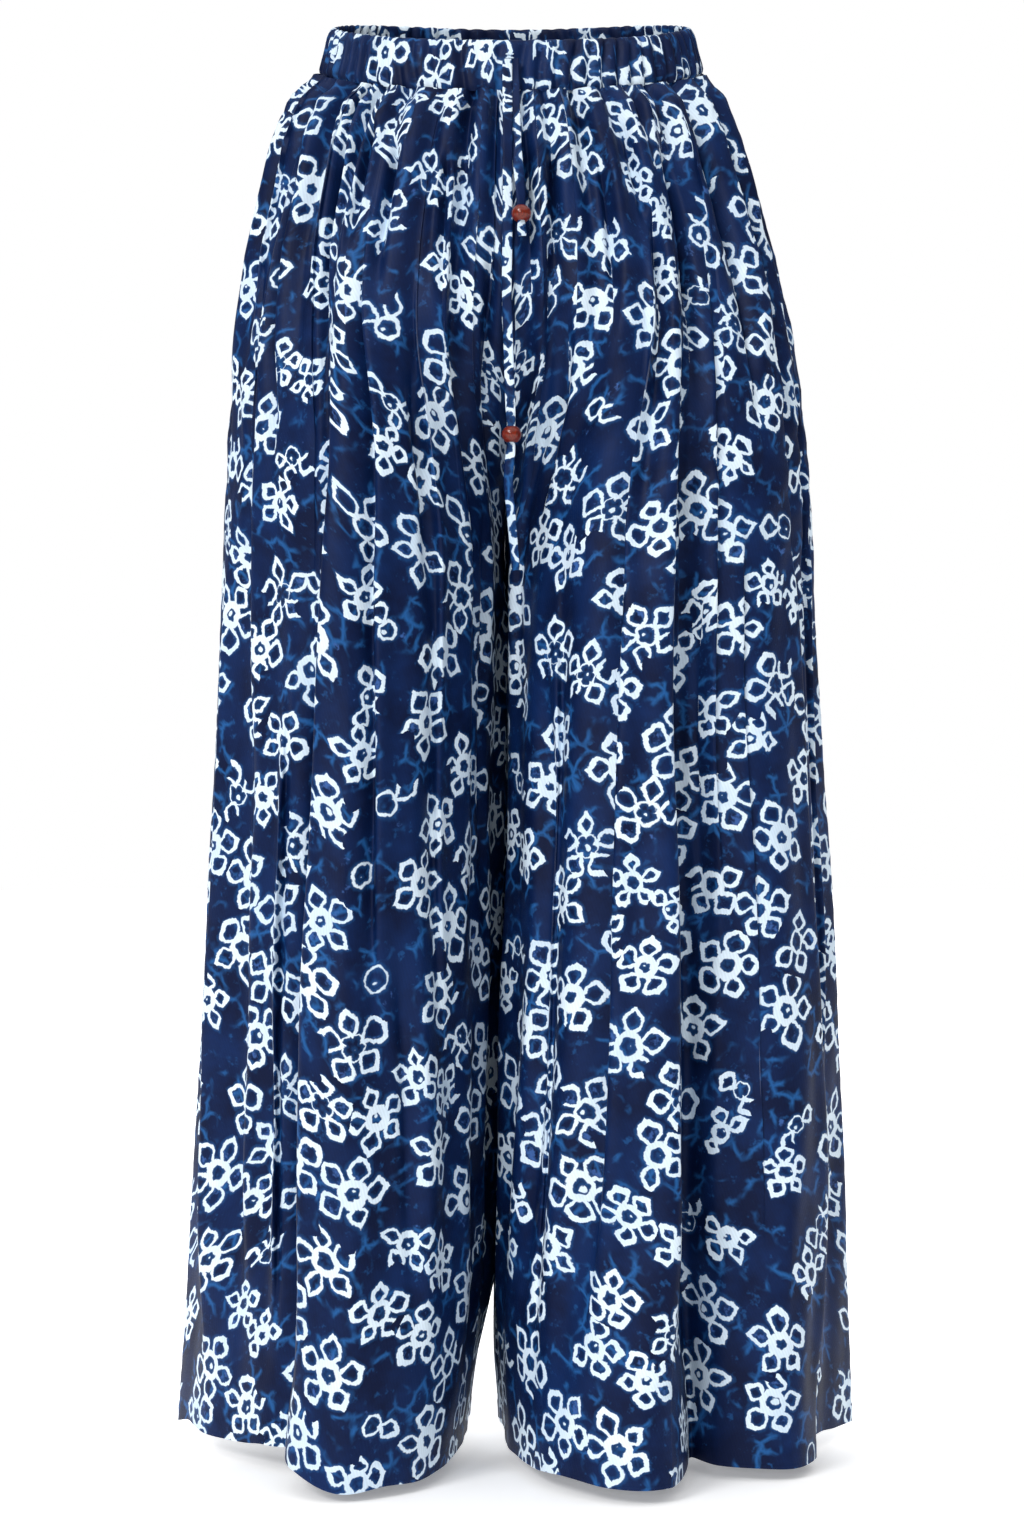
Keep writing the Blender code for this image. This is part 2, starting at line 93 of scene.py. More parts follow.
# ---- sizes that only the cloth has ----
SEAM_HALF_GAP = 0.00006      # the panels all but touch along their seams
PINCH_DEPTH = 0.0008         # the cloth dips this far where it is sewn
PINCH_WIDTH = 0.0040
PUCKER_PITCH = 0.0120        # small puckers along a seam
PUCKER_DEPTH = 0.00020
HEM_TURNING = 0.0110         # the hem is turned up this far, and is that much thicker
COLUMN_SPACING = 0.0027      # between the mesh columns, at the hem
ROW_SPACING = 0.0074         # between the mesh rows, at most
FIRST_ROW = 0.0028           # and right under the band
CUT_WIDTH = 0.004            # half width of the strip that hides cloth in a fold, in fold lines
LAP_WIDTH = 0.0050           # the edge of a lap rolls over in this
HEM_STEP_LINES = slice(9, 12)  # fold lines of the left front beside the step in its hem
EVENED_FROM = -0.76          # below this height the folds even out
EVENED_IN = 0.17             # over this distance
BACK_EVENED = 0.2            # the folds of the back even out this much, those of the front wholly
HEM_SMOOTH_FROM = -0.86      # below this height the laps of the front fade out
HEM_SMOOTH_IN = 0.08
WAIST_CUT_SHARE = 0.76       # a panel is cut this wide at the waist, as a share of its hem


# ---- tables ----
def table(kind, rows):
    """Rows with named columns, written in thousandths but for a line's number and a lap's way."""
    scales = [1 if name in ("line", "opens") else 1000 for name in kind._fields]
    return [kind(*(value / scale for value, scale in zip(row, scales))) for row in rows]


# A level of the filled-out form: height, half width of each side, depth of the front and the
# back, and the middle and half width of the space between the legs.
Level = namedtuple("Level", "z right left front back gap_x gap_half")
LEVELS = table(Level, (
    (-13, 133.5, 134, 96, 98, 0, 0.2), (-30, 146.5, 146, 106, 109, 0, 0.2),
    (-60, 160, 158.5, 117, 122, 0, 0.2), (-100, 170.5, 172, 125, 132, -0.5, 0.2),
    (-143, 182.5, 184.5, 131, 141, -1, 0.2), (-213, 193, 199.5, 139, 150, -2, 0.2),
    (-297, 199, 209, 145, 155, -3.5, 0.3), (-368, 202.5, 212.5, 149, 157, -5, 0.5),
    (-465, 206, 217, 152, 159, -8, 0.8), (-577, 212, 225, 156, 162, -10.5, 1.1),
    (-690, 218, 230.5, 159, 165, -12.7, 1.5), (-800, 224.5, 234.5, 162, 168, -15, 1.5),
    (-870, 227.5, 236.5, 164, 170, -16.8, 2.6), (-955, 233, 239, 166, 172, -19.5, 11.5),
))

# A line along a leg panel, on a crest or in a hollow: its place at the crotch level and at the
# hem, as a share of the way round from the inseam to the side seam, how far it stands out of the
# smooth form at the hem, and how far the hem is lifted there.
Fold = namedtuple("Fold", "crotch hem out lift")
FRONT_RIGHT_FOLDS = table(Fold, (
    (45, 50, 4, 0), (90, 95, 0, 0), (150, 140, 10, 0), (205, 190, 9, 0), (260, 235, 22, 0),
    (315, 280, 21, 0), (385, 330, 36, -2), (450, 385, 28, -1), (500, 455, 36, -3),
    (542, 530, 18, 9), (576, 580, -47, 12), (597, 604, -41, 8), (618, 632, -52, 8),
    (670, 682, -38, 7), (725, 732, -45, 7), (775, 778, -31, 5), (825, 822, -38, 4),
    (885, 880, -10, 4), (945, 945, -13, 6),
))
FRONT_LEFT_FOLDS = table(Fold, (
    (45, 45, -4, 0), (85, 92, -1, 0), (135, 140, 10, 0), (185, 185, 8, 0), (245, 230, 22, 0),
    (295, 272, 18, 0), (355, 308, 37, 2), (405, 345, 32, 3), (455, 405, 41, 1), (495, 474, 28, 1),
    (532, 512, -50, 1), (580, 580, -26, 0), (628, 634, -17, 0), (685, 688, 6, -1),
    (775, 772, 1, -1), (820, 822, -38, 3), (883, 885, -16, 3), (945, 940, -20, 1),
))
BACK_RIGHT_FOLDS = table(Fold, (
    (50, 50, 3, 0), (105, 105, -7, 1), (165, 160, 10, 0), (220, 210, -12, 1), (285, 270, 19, -1),
    (345, 330, -18, 2), (405, 400, 24, -2), (465, 460, -6, 1), (520, 520, 20, -1),
    (580, 590, -26, 3), (645, 655, 16, 0), (700, 710, -12, 2), (760, 765, 12, 0),
    (820, 825, -18, 2), (880, 880, 4, 0), (940, 940, -10, 1),
))
BACK_LEFT_FOLDS = table(Fold, (
    (45, 50, 2, 0), (95, 100, -9, 1), (155, 150, 6, 0), (205, 205, -14, 1), (270, 260, 14, -1),
    (330, 310, -8, 1), (390, 370, 26, -2), (450, 440, -20, 3), (510, 500, 15, -1),
    (560, 555, -4, 0), (620, 625, 21, -1), (685, 690, -24, 3), (745, 750, 10, 0), (800, 805, -8, 1),
    (860, 865, 7, 0), (930, 935, -14, 1),
))

# A lap, where the cloth folds over its neighbour: its place, counted in fold lines from the inner
# seam, how far it reaches sideways over the hollow, how high it stands, the heights where it
# begins and ends, and whether it opens towards the side seam (1) or not (-1).
Lap = namedtuple("Lap", "line over high top bottom opens")
FRONT_RIGHT_LAPS = table(Lap, (
    (4.5, 1.6, 2.34, -60, -560, -1), (6.2, 3.4, 4.29, -100, -720, 1),
    (8.1, 4.7, 5.85, -70, -700, 1), (10.3, 5.2, 3.12, -160, -980, 1),
    (14.4, 3.9, 4.68, -420, -900, -1), (16.4, 2.3, 3.12, -130, -520, 1),
    (18.2, 3.9, 4.68, -280, -960, 1),
))
FRONT_LEFT_LAPS = table(Lap, (
    (3.4, 1.8, 2.73, -80, -500, 1), (6.1, 3.4, 3.9, -320, -920, 1),
    (8.5, 4.7, 5.85, -110, -900, -1), (10.3, 5.2, 3.12, -160, -980, 1),
    (12.4, 2.6, 3.12, -120, -640, 1), (13.4, 3.6, 4.29, -280, -900, 1),
    (15.2, 4.4, 4.29, -330, -980, 1), (17.4, 3.1, 3.9, -180, -760, -1),
))
BACK_RIGHT_LAPS = table(Lap, (
    (3.4, 2.9, 3.51, -90, -600, 1), (6.2, 4.2, 5.07, -60, -820, -1),
    (9.3, 4.7, 4.68, -260, -980, 1), (12.4, 3.4, 3.9, -120, -560, 1),
    (14.3, 3.9, 4.29, -380, -930, -1),
))
BACK_LEFT_LAPS = table(Lap, (
    (2.4, 2.6, 3.12, -70, -480, -1), (5.3, 3.9, 4.68, -180, -860, 1),
    (7.4, 4.4, 4.68, -90, -640, 1), (11.2, 4.7, 5.07, -300, -980, 1),
    (14.4, 3.6, 3.9, -150, -700, -1),
))

# A crease, a narrow hollow between two gathers or in the fall of the leg: its place in fold lines,
# the heights where it begins and ends, how deep it is, and its half width.
Crease = namedtuple("Crease", "line top bottom deep wide")
FRONT_RIGHT_CREASES = table(Crease, (
    (2.1, -140, -330, 7.65, 3.655), (3.4, -310, -640, 6.12, 4.675), (5, -65, -215, 10.03, 3.23),
    (6.6, -225, -420, 8.16, 3.655), (7.5, -52, -200, 13.09, 3.485), (7.4, -610, -900, 8.16, 5.78),
    (9, -40, -165, 11.9, 3.23), (11.6, -45, -275, 10.54, 3.655), (12.4, -410, -820, 8.5, 5.015),
    (13.5, -42, -190, 9.52, 3.23), (15.5, -55, -340, 10.54, 3.995), (17.3, -200, -400, 9.01, 4.335),
))
FRONT_LEFT_CREASES = table(Crease, (
    (2.3, -55, -190, 7.14, 2.89), (4, -60, -180, 10.03, 3.23), (4.6, -190, -360, 8.16, 4.335),
    (5.6, -420, -900, 8.16, 5.015), (6.7, -58, -230, 12.41, 3.655), (8.5, -38, -150, 10.54, 3.06),
    (9, -100, -400, 13.26, 3.995), (11.3, -45, -260, 10.88, 3.655), (11.8, -380, -700, 6.63, 5.015),
    (14.2, -45, -310, 10.54, 3.995), (16.4, -75, -270, 9.01, 3.995),
    (16.6, -560, -930, 8.16, 5.015),
))
BACK_RIGHT_CREASES = table(Crease, (
    (2.2, -30, -180, 8.5, 3.23), (4.6, -35, -290, 11.39, 3.655), (5.3, -380, -760, 8.16, 5.015),
    (7.5, -28, -210, 11.9, 3.485), (8.4, -270, -560, 8.5, 4.335), (10.4, -30, -250, 10.88, 3.655),
    (11.5, -520, -930, 8.5, 5.44), (13.5, -35, -330, 10.54, 3.995), (15.6, -60, -210, 8.5, 3.655),
))
BACK_LEFT_CREASES = table(Crease, (
    (1.6, -32, -220, 8.5, 3.23), (3.5, -30, -160, 10.54, 3.23), (4.4, -300, -680, 8.16, 5.015),
    (6.5, -26, -300, 12.41, 3.655), (8.6, -35, -190, 10.03, 3.485), (9.5, -450, -900, 8.5, 5.015),
    (10.5, -40, -270, 11.39, 3.655), (12.7, -220, -520, 8.5, 4.335), (15.4, -45, -240, 9.01, 3.655),
))

# A leg panel: its CAD node, which side it is on, which way it faces, and its tables.
Panel = namedtuple("Panel", "name side facing folds laps creases")
RIGHT, LEFT = -1, 1
FRONT, BACK = -1, 1
PANELS = (
    Panel("front_right", RIGHT, FRONT, FRONT_RIGHT_FOLDS, FRONT_RIGHT_LAPS, FRONT_RIGHT_CREASES),
    Panel("front_left", LEFT, FRONT, FRONT_LEFT_FOLDS, FRONT_LEFT_LAPS, FRONT_LEFT_CREASES),
    Panel("back_right", RIGHT, BACK, BACK_RIGHT_FOLDS, BACK_RIGHT_LAPS, BACK_RIGHT_CREASES),
    Panel("back_left", LEFT, BACK, BACK_LEFT_FOLDS, BACK_LEFT_LAPS, BACK_LEFT_CREASES),
)

# A point of a drawstring end: sideways place, height, and how far its middle stands in front of
# the cloth, or of the furthest forward place that it hung over further up.
Hang = namedtuple("Hang", "x z off")
UPPER_ROUTE = table(Hang, (
    (2.6, -26.2, 2.3), (2.6, -43, 2.4), (2.8, -64, 2.7), (4, -94, 3.6), (6.2, -120, 6),
    (6.8, -131, 6.7), (6.8, -143, 6.7), (7.4, -152, 6.2),
))
LOWER_ROUTE = table(Hang, (
    (-2.4, -26.2, 2.3), (-2.4, -43, 2.8), (-2.3, -64, 4.3), (-2.2, -86, 5.6), (-2.2, -126, 5),
    (-2.4, -160, 5.4), (-2.6, -192, 5.2), (-0.4, -262, 5.2), (0.4, -275, 5.2), (0.4, -287, 5.2),
    (-1.6, -310, 5.2), (0.4, -336.4, 5.2), (3.2, -370, 5.2),
))

# One end of the drawstring: its CAD nodes, its route, the height of its bead, the part of the
# cloth that it was cut from, and how far it turns about its own line, in degrees, at its ends.
Tie = namedtuple("Tie", "cord bead route bead_z cut turn_top turn_end")
TIES = (
    Tie("drawstring_upper", "bead_upper", UPPER_ROUTE, -0.1370, (2.113, 0.40), 24, -18),
    Tie("drawstring_lower", "bead_lower", LOWER_ROUTE, -0.2810, (2.318, 0.10), -14, 32),
)


# ---- curves through the tables ----
def spline(before, start, end, after, share):
    """Catmull-Rom value between start and end."""
    return 0.5 * (
        2 * start
        + (end - before) * share
        + (2 * before - 5 * start + 4 * end - after) * share**2
        + (3 * start - before - 3 * end + after) * share**3
    )


def level_at(z):
    """The row of LEVELS that a height z falls on, smoothed between its rows."""
    last = len(LEVELS) - 1
    i = 0
    while i < last - 1 and z < LEVELS[i + 1].z:
        i += 1
    share = (z - LEVELS[i].z) / (LEVELS[i + 1].z - LEVELS[i].z)
    rows = [LEVELS[max(0, min(last, i + step))] for step in (-1, 0, 1, 2)]
    return Level(z, *(spline(*values, share) for values in list(zip(*rows))[1:]))


def eased(value):
    """0 to 1 with soft ends."""
    value = np.clip(value, 0.0, 1.0)
    return value * value * (3 - 2 * value)


def parting(z):
    """0 where the section is one oval, 1 where it is two legs."""
    return float(eased((CLEFT_TOP_Z - z) / (CLEFT_TOP_Z - CROTCH_Z))) ** 1.5


def blended_depth(share, part):
    """Depth of the section at a share of the way from the inner seam to the side seam."""
    oval = np.maximum(0.0, np.cos(share * pi / 2)) ** (2 / WAIST_OVAL_POWER)
    return oval * (1 - part) + np.maximum(0.0, np.sin(share * pi)) * part


def depth_scale(part):
    """Brings the deepest point of a blended section back to the table's depth."""
    return 1 / float(np.max(blended_depth(np.linspace(0, 1, 41), part)))


def waist_tilt(frontness):
    """How far the waist's edge lies above its side: frontness is 1 in front and -1 behind."""
    frontness = np.asarray(frontness, float)
    dip = -FRONT_DIP * np.maximum(frontness, 0.0) ** 1.05
    rise = BACK_RISE * (1 - (1 + np.minimum(frontness, 0.0)) ** 1.5)
    return np.where(frontness >= 0, dip, rise)


def inseam_lean(x, y, z):
    """The legs press on each other, so both of their inner faces bow to one side."""
    reach = float(eased((CROTCH_Z + 0.02 - z) / 0.05) * (1 - eased((-0.835 - z) / 0.085)))
    return INSEAM_LEAN * reach * np.exp(-((y / 0.035) ** 2)) * eased(1 - np.abs(x) / 0.09)


# ---- leg panels ----
def smooth_points(panel, share, z):
    """Points of the smooth form, share of the way from the inner seam to the side seam."""
    level = level_at(z)
    open_share = 0.5 + 0.5 * float(eased((-0.83 - z) / 0.05))
    parted = float(eased((CROTCH_Z - z) / 0.02)) * open_share
    seam_x = level.gap_x + panel.side * (SEAM_HALF_GAP + (level.gap_half - SEAM_HALF_GAP) * parted)
    side_x = panel.side * (level.left if panel.side == LEFT else level.right)
    depth = level.front if panel.facing == FRONT else level.back
    part = parting(z)
    oval_x = np.sin(share * pi / 2) ** (2 / WAIST_OVAL_POWER)
    leg_x = (1 - np.cos(share * pi)) / 2
    x = seam_x + (side_x - seam_x) * (oval_x * (1 - part) + leg_x * part)
    y = depth * blended_depth(share, part) * depth_scale(part)
    return np.stack([x + inseam_lean(x, y, z), panel.facing * (y + SEAM_HALF_GAP)], 1)


def unevenness(panel):
    """How deep each gather of a panel is, and how far down it runs, so that no two are alike."""
    chance = np.random.RandomState(11 + 2 * panel.side + panel.facing)
    count = len(panel.folds) + 2
    depth = chance.uniform(0.55, 1.20, count)
    reach = chance.choice((0.35, 0.55, 0.8, 1.1, 1.7), count) * chance.uniform(0.85, 1.15, count)
    phase = chance.uniform(0, 2 * pi, count)
    return depth, reach, phase


def fold_lines(panel, z, gather_depth):
    """Share, stand-out, ripple and lift of each line of the panel at height z."""
    part = parting(z)
    waist_shares = [fold.crotch**GATHER_CROWDING for fold in panel.folds]
    room = [b - a for a, b in zip([0.0, *waist_shares], [*waist_shares, 1.0])]
    below = max(0.0, (CROTCH_Z - z) / (CROTCH_Z - HEM_Z))
    down = (WAIST_SEAM_Z - z) / (WAIST_SEAM_Z - HEM_Z)
    drop = WAIST_SEAM_Z - z
    depth, reach, phase = unevenness(panel)
    roam = float(eased(drop / 0.15) * (1 - eased((drop - 0.80) / 0.12)))
    lines = [(0.0, 0.0, 0.0, 0.0)]
    for i, fold in enumerate(panel.folds):
        at_leg = fold.crotch + (fold.hem - fold.crotch) * below
        sway = 0.0045 * sin(11 * z + 5 * fold.crotch + panel.side) + 0.0028 * sin(23 * z + phase[i])
        share = waist_shares[i] + (at_leg - waist_shares[i]) * part
        fade = 1 - float(eased(drop / (GATHER_FADE * reach[i])))
        ripple = gather_depth * min(1.0, 0.55 + drop / 0.03) * (0.96 * fade + 0.04 * (1 - down))
        ripple *= depth[i] * min(1.0, min(room[i], room[i + 1]) / GATHER_SHARE)
        out = fold.out * down**FOLD_GROWTH
        lift = fold.lift * float(eased((down - 0.6) / 0.4))
        lines.append((share + sway * roam, out, ripple if i % 2 == 0 else -ripple, lift))
    lines.append((1.0, 0.0, 0.0, 0.0))
    rows = np.array(lines).T
    # The folds even out towards the hem, but for a step in the hem of the left front.
    even = rows[1].copy()
    even[1:-1] = (rows[1, :-2] + 2 * rows[1, 1:-1] + rows[1, 2:]) / 4
    if panel.name == "front_left":
        even[HEM_STEP_LINES] = rows[1, HEM_STEP_LINES]
    settled = 1.0 if panel.facing == FRONT else BACK_EVENED
    rows[1] += (even - rows[1]) * settled * float(eased((EVENED_FROM - z) / EVENED_IN))
    return rows


def panel_heights():
    """Heights of the rows: close together under the band and at the turned-up hem."""
    heights = [WAIST_SEAM_Z]
    while heights[-1] > HEM_Z + 0.014:
        drop = WAIST_SEAM_Z - heights[-1]
        heights.append(heights[-1] - min(ROW_SPACING, FIRST_ROW + drop * 0.02))
    return [*heights[:-1], *np.linspace(HEM_Z + 0.0145, HEM_Z, 8)]


def panel_columns(panel):
    """Places of the mesh columns, counted in fold lines, with a close pair at each cut."""
    hems = [0.0, *(fold.hem for fold in panel.folds), 1.0]
    places = []
    for i in range(len(hems) - 1):
        steps = max(5, round((hems[i + 1] - hems[i]) * 0.52 / COLUMN_SPACING))
        places += [i + step / steps for step in range(steps)]
    places.append(len(hems) - 1.0)
    cuts = [fold.line for fold in (*panel.laps, *panel.creases)]
    cuts += [i + 1.0 for i in range(len(panel.folds))]
    for cut in cuts:
        places = [place for place in places if abs(place - cut) > 0.03]
        places += [cut - 3 * CUT_WIDTH, cut - CUT_WIDTH, cut + CUT_WIDTH, cut + 3 * CUT_WIDTH]
    return np.array(sorted(places))


def soft_waves(around, z, seed):
    """Slow unevenness of hanging cloth, about -1 to 1, long from top to bottom."""
    chance = np.random.RandomState(seed)
    total = np.zeros_like(around)
    for _ in range(7):
        across = 2 * pi / chance.uniform(0.028, 0.085)
        down = 2 * pi / chance.uniform(0.13, 0.42)
        way = chance.choice((-1, 1))
        total += np.sin(across * around + way * down * z + chance.uniform(0, 6.3))
    return total / 3.2


def lap_shape(distance, width):
    """1 on the side that lies on top, -1 on the side under it, and 0 away from the lap."""
    t = distance / width
    return -t * np.exp(0.5 - 0.5 * t * t)


def panel_row(panel, places, z, gather_depth):
    """Outer points of one row of the panel, and the lines where its cloth can be hidden."""
    shares, outs, ripples, lifts = fold_lines(panel, z, gather_depth)
    i = np.minimum(places.astype(int), len(shares) - 2)
    step = places - i
    swell = (1 - np.cos(pi * step)) / 2
    share = shares[i] + (shares[i + 1] - shares[i]) * step
    near = [np.clip(i + offset, 0, len(shares) - 1) for offset in (-1, 0, 1, 2)]
    out, lifted = (spline(*(line[n] for n in near), step) for line in (outs, lifts))
    ripple = ripples[i] + (ripples[i + 1] - ripples[i]) * swell
    peak = np.maximum(np.abs(ripples[i]), np.abs(ripples[i + 1])) + 1e-9
    ripple = peak * (1 - 2 * ((1 - ripple / peak) / 2) ** 1.9)
    drop = WAIST_SEAM_Z - z
    plain = smooth_points(panel, share, z)
    around = lengths_along(plain)
    girth = around[-1]
    seed = 3 + 2 * panel.side + panel.facing
    loose = float(eased(drop / 0.18))
    out = out + ripple
    # Slow unevenness, which settles at the hem, and small puckers right under the band.
    settled = float(eased((-0.87 - z) / 0.07))
    out += 0.0011 * loose * (1 - 0.6 * settled) * soft_waves(around, z, seed)
    small = np.sin(around * 700 + 2.2 * np.sin(around * 170) + 1.3 * np.sin(around * 63 + seed))
    small = 1 - 2 * ((1 - small) / 2) ** 1.6
    out += 0.0013 * exp(-drop / 0.035) * (0.6 + 0.4 * np.sin(around * 110 + seed)) * small
    # The cloth lies close where it is sewn, dips and puckers along its seams, and is thicker
    # where the hem is turned up.
    from_seam = np.minimum(around, girth - around)
    out *= 1 - 0.75 * np.exp(-((from_seam / 0.006) ** 2))
    sewn = 1 - float(eased((CROTCH_Z + 0.03 - z) / 0.03)) * (around < girth / 2)
    out -= PINCH_DEPTH * sewn * np.exp(-((from_seam / PINCH_WIDTH) ** 2))
    out += PUCKER_DEPTH * sin(2 * pi * z / PUCKER_PITCH) * np.exp(-((from_seam / 0.009) ** 2))
    out += 0.0003 * float(eased((HEM_Z + HEM_TURNING + 0.002 - z) / 0.002))
    # Laps and creases, and how much of the cloth that is left over each line of the panel hides.
    over = np.zeros_like(out)
    near_waist = 1 - float(eased(drop / 0.30))
    hiding = [(line, (0.25 + 0.55 * near_waist) * (line % 2)) for line in range(1, len(shares) - 1)]
    for lap in panel.laps:
        length = lap.top - lap.bottom
        run = (lap.top - z) / length
        if not 0 < run < 1.6:
            continue
        strength = float(eased(run / 0.25) * (1 - eased((run - 0.75) / 0.25)))
        shown = strength
        if panel.facing == FRONT:
            shown *= 1 - float(eased((HEM_SMOOTH_FROM - z) / HEM_SMOOTH_IN))
        away = around - np.interp(lap.line, places, around)
        shape = lap_shape(away * lap.opens, LAP_WIDTH) * shown
        over += lap.over * lap.opens * shape * panel.side
        out += lap.high * shape
        hiding.append((lap.line, strength**0.5))
    for crease in panel.creases:
        run = (crease.top - z) / (crease.top - crease.bottom)
        strength = float(eased(run / 0.2) * (1 - eased((run - 0.45) / 0.55)))
        away = around - np.interp(crease.line, places, around)
        out -= crease.deep * strength * np.exp(-((away / crease.wide) ** 2))
        hiding.append((crease.line, strength**0.5))
    before = smooth_points(panel, np.maximum(0.0, share - 0.01), z)
    after = smooth_points(panel, np.minimum(1.0, share + 0.01), z)
    along = (after - before) / np.hypot(*(after - before).T)[:, None]
    outward = np.stack([along[:, 1], -along[:, 0]], 1) * (-panel.side * panel.facing)
    across = along * panel.side
    flat = plain + outward * out[:, None] + across * over[:, None]
    flat[:, 0] += (plain[0, 0] - flat[0, 0]) * np.exp(-((around / 0.005) ** 2))
    fade = (1 - min(1.0, drop / TILT_REACH)) ** 2
    tilt = waist_tilt(-panel.facing * np.maximum(0.0, np.cos(share * pi / 2))) * fade
    return np.column_stack([flat, z + tilt + lifted]), sorted(hiding)


def cut_places(places, hiding, around, cut):
    """Where a row's points lie on the flat cut: cloth that is left over goes into the hollows."""
    moved = around.copy()
    for line, share in hiding:
        at = np.interp(line, places, moved)
        left_over = np.interp(line, places, cut) - at
        step = np.clip((places - line) / (2 * CUT_WIDTH) + 0.5, 0, 1)
        moved += max(0.0, left_over) * share * step
    return moved


def grid_normals(grid, side):
    """Outward normals of a grid of points."""
    across = np.gradient(grid, axis=1)
    down = np.gradient(grid, axis=0)
    normals = np.cross(across, down) * side
    return normals / np.maximum(np.linalg.norm(normals, axis=2, keepdims=True), 1e-12)


def lengths_along(points):
    """How far along its line each point lies."""
    steps = np.linalg.norm(np.diff(points, axis=0), axis=1)
    return np.concatenate([[0.0], np.cumsum(steps)])


def mesh_object(name, points, faces, flat, materials, sharp):
    """A smooth object. Its cloth_flat map has one point for each corner of its faces."""
    mesh = bpy.data.meshes.new(name)
    mesh.from_pydata(points, [], faces)
    layer = mesh.uv_layers.new(name="cloth_flat")
    layer.uv.foreach_set("vector", np.asarray(flat, np.float32).ravel())
    for material in materials:
        mesh.materials.append(material)
    mesh.shade_smooth()
    if sharp:
        mesh.set_sharp_from_angle(angle=radians(sharp))
    made = bpy.data.objects.new(name, mesh)
    bpy.context.collection.objects.link(made)
    return made


def grid_quads(number):
    """The four corners of each square of a grid, by the numbers of its points."""
    corners = (number[:-1, :-1], number[:-1, 1:], number[1:, 1:], number[1:, :-1])
    return np.stack(corners, 2).reshape(-1, 4)


def two_sided(name, outer, inner, flat, materials, flip):
    """A thin closed shell between two grids. Its second material is on the inside."""
    rows, columns = outer.shape[:2]
    count = rows * columns
    number = np.arange(count).reshape(rows, columns)
    quads = grid_quads(number)[:, [0, 3, 2, 1]]
    rim = [(0, c) for c in range(columns)]
    rim += [(r, columns - 1) for r in range(1, rows)]
    rim += [(rows - 1, c) for c in range(columns - 2, -1, -1)]
    rim += [(r, 0) for r in range(rows - 2, 0, -1)]
    ring = np.array([number[place] for place in rim])
    after = np.roll(ring, -1)
    edge = np.stack([ring, after, after + count, ring + count], 1)
    faces = np.concatenate([quads, quads[:, ::-1] + count, edge])
    if flip:
        faces = faces[:, ::-1]
    points = np.concatenate([outer.reshape(-1, 3), inner.reshape(-1, 3)])
    flat_points = np.concatenate([flat.reshape(-1, 2)] * 2)[faces.ravel()]
    made = mesh_object(name, points.tolist(), faces.tolist(), flat_points, materials, 80)
    slots = np.zeros(len(faces), np.int32)
    slots[len(quads): 2 * len(quads)] = len(materials) - 1
    made.data.polygons.foreach_set("material_index", slots)
    return made


def make_panel(panel, number, settings, materials):
    """One leg panel, with the width, length and area of its cut."""
    places = panel_columns(panel)
    heights = panel_heights()
    rows = [panel_row(panel, places, z, settings.gather_depth) for z in heights]
    outer = np.array([points for points, _ in rows])
    u = np.zeros(outer.shape[:2])
    u[:, 1:] = np.cumsum(np.linalg.norm(np.diff(outer, axis=1), axis=2), axis=1)
    hem = u[-1].copy()
    for row, z in enumerate(heights):
        down = (WAIST_SEAM_Z - z) / (WAIST_SEAM_Z - HEM_Z)
        cut = hem * (WAIST_CUT_SHARE + (1 - WAIST_CUT_SHARE) * down**0.8)
        u[row] = cut_places(places, rows[row][1], u[row], cut) - cut[len(places) // 2]
    v = np.zeros(outer.shape[:2])
    lengths = np.linalg.norm(np.diff(outer, axis=0), axis=2)
    v[:-1] = np.cumsum(lengths[::-1], axis=0)[::-1]
    flat = np.stack([u * panel.side * -panel.facing + 3.0 + number * 1.37, v], 2)
    side = panel.side * panel.facing
    inner = outer - grid_normals(outer, side) * settings.thickness
    made = two_sided("cloth_" + panel.name, outer, inner, flat, materials, side > 0)
    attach(made, "root")
    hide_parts(panel.name)
    width = float(np.ptp(u, axis=1).max())
    length = float(v[0].mean())
    area = float((np.ptp(u, axis=1)[:-1] * lengths.mean(1)).sum())
    return made, width, length, area


# ---- waistband ----
# The band's section, from its foot outside, over the top edge and down inside: share of its
# height, share of its wall from the inside, and share of the ruche.
Profile = namedtuple("Profile", "height wall ruche")
BAND_PROFILE = table(Profile, (
    (-30, 720, 500), (30, 980, 900), (100, 1120, 1100), (200, 1170, 1100), (320, 1180, 1000),
    (440, 1170, 900), (560, 1160, 900), (680, 1140, 1000), (800, 1090, 1000), (890, 1000, 800),
    (955, 840, 600), (990, 620, 300), (1000, 420, 0), (980, 200, -300), (920, 50, -500),
    (800, -20, -600), (600, -40, -600), (400, -40, -600), (200, -20, -500), (20, 20, -300),
))
RUCHE_STEPS = 9
OUTER_RING = 5               # the band's length is measured along this point of its section
BAND_CUT_LENGTH = 1.14       # the band's cloth before the elastic ruches it
BAND_CUT_FROM = (0.025, 0.024)  # the part of the printed cloth that the band was cut from


def oval_point(turn, half_width, half_depth):
    """A point of the waist's oval, turn radians round from the front."""
    power = 2 / WAIST_OVAL_POWER
    across = abs(sin(turn)) ** power * (1 if sin(turn) >= 0 else -1)
    along = abs(cos(turn)) ** power * (1 if cos(turn) >= 0 else -1)
    return half_width * across, -half_depth * along


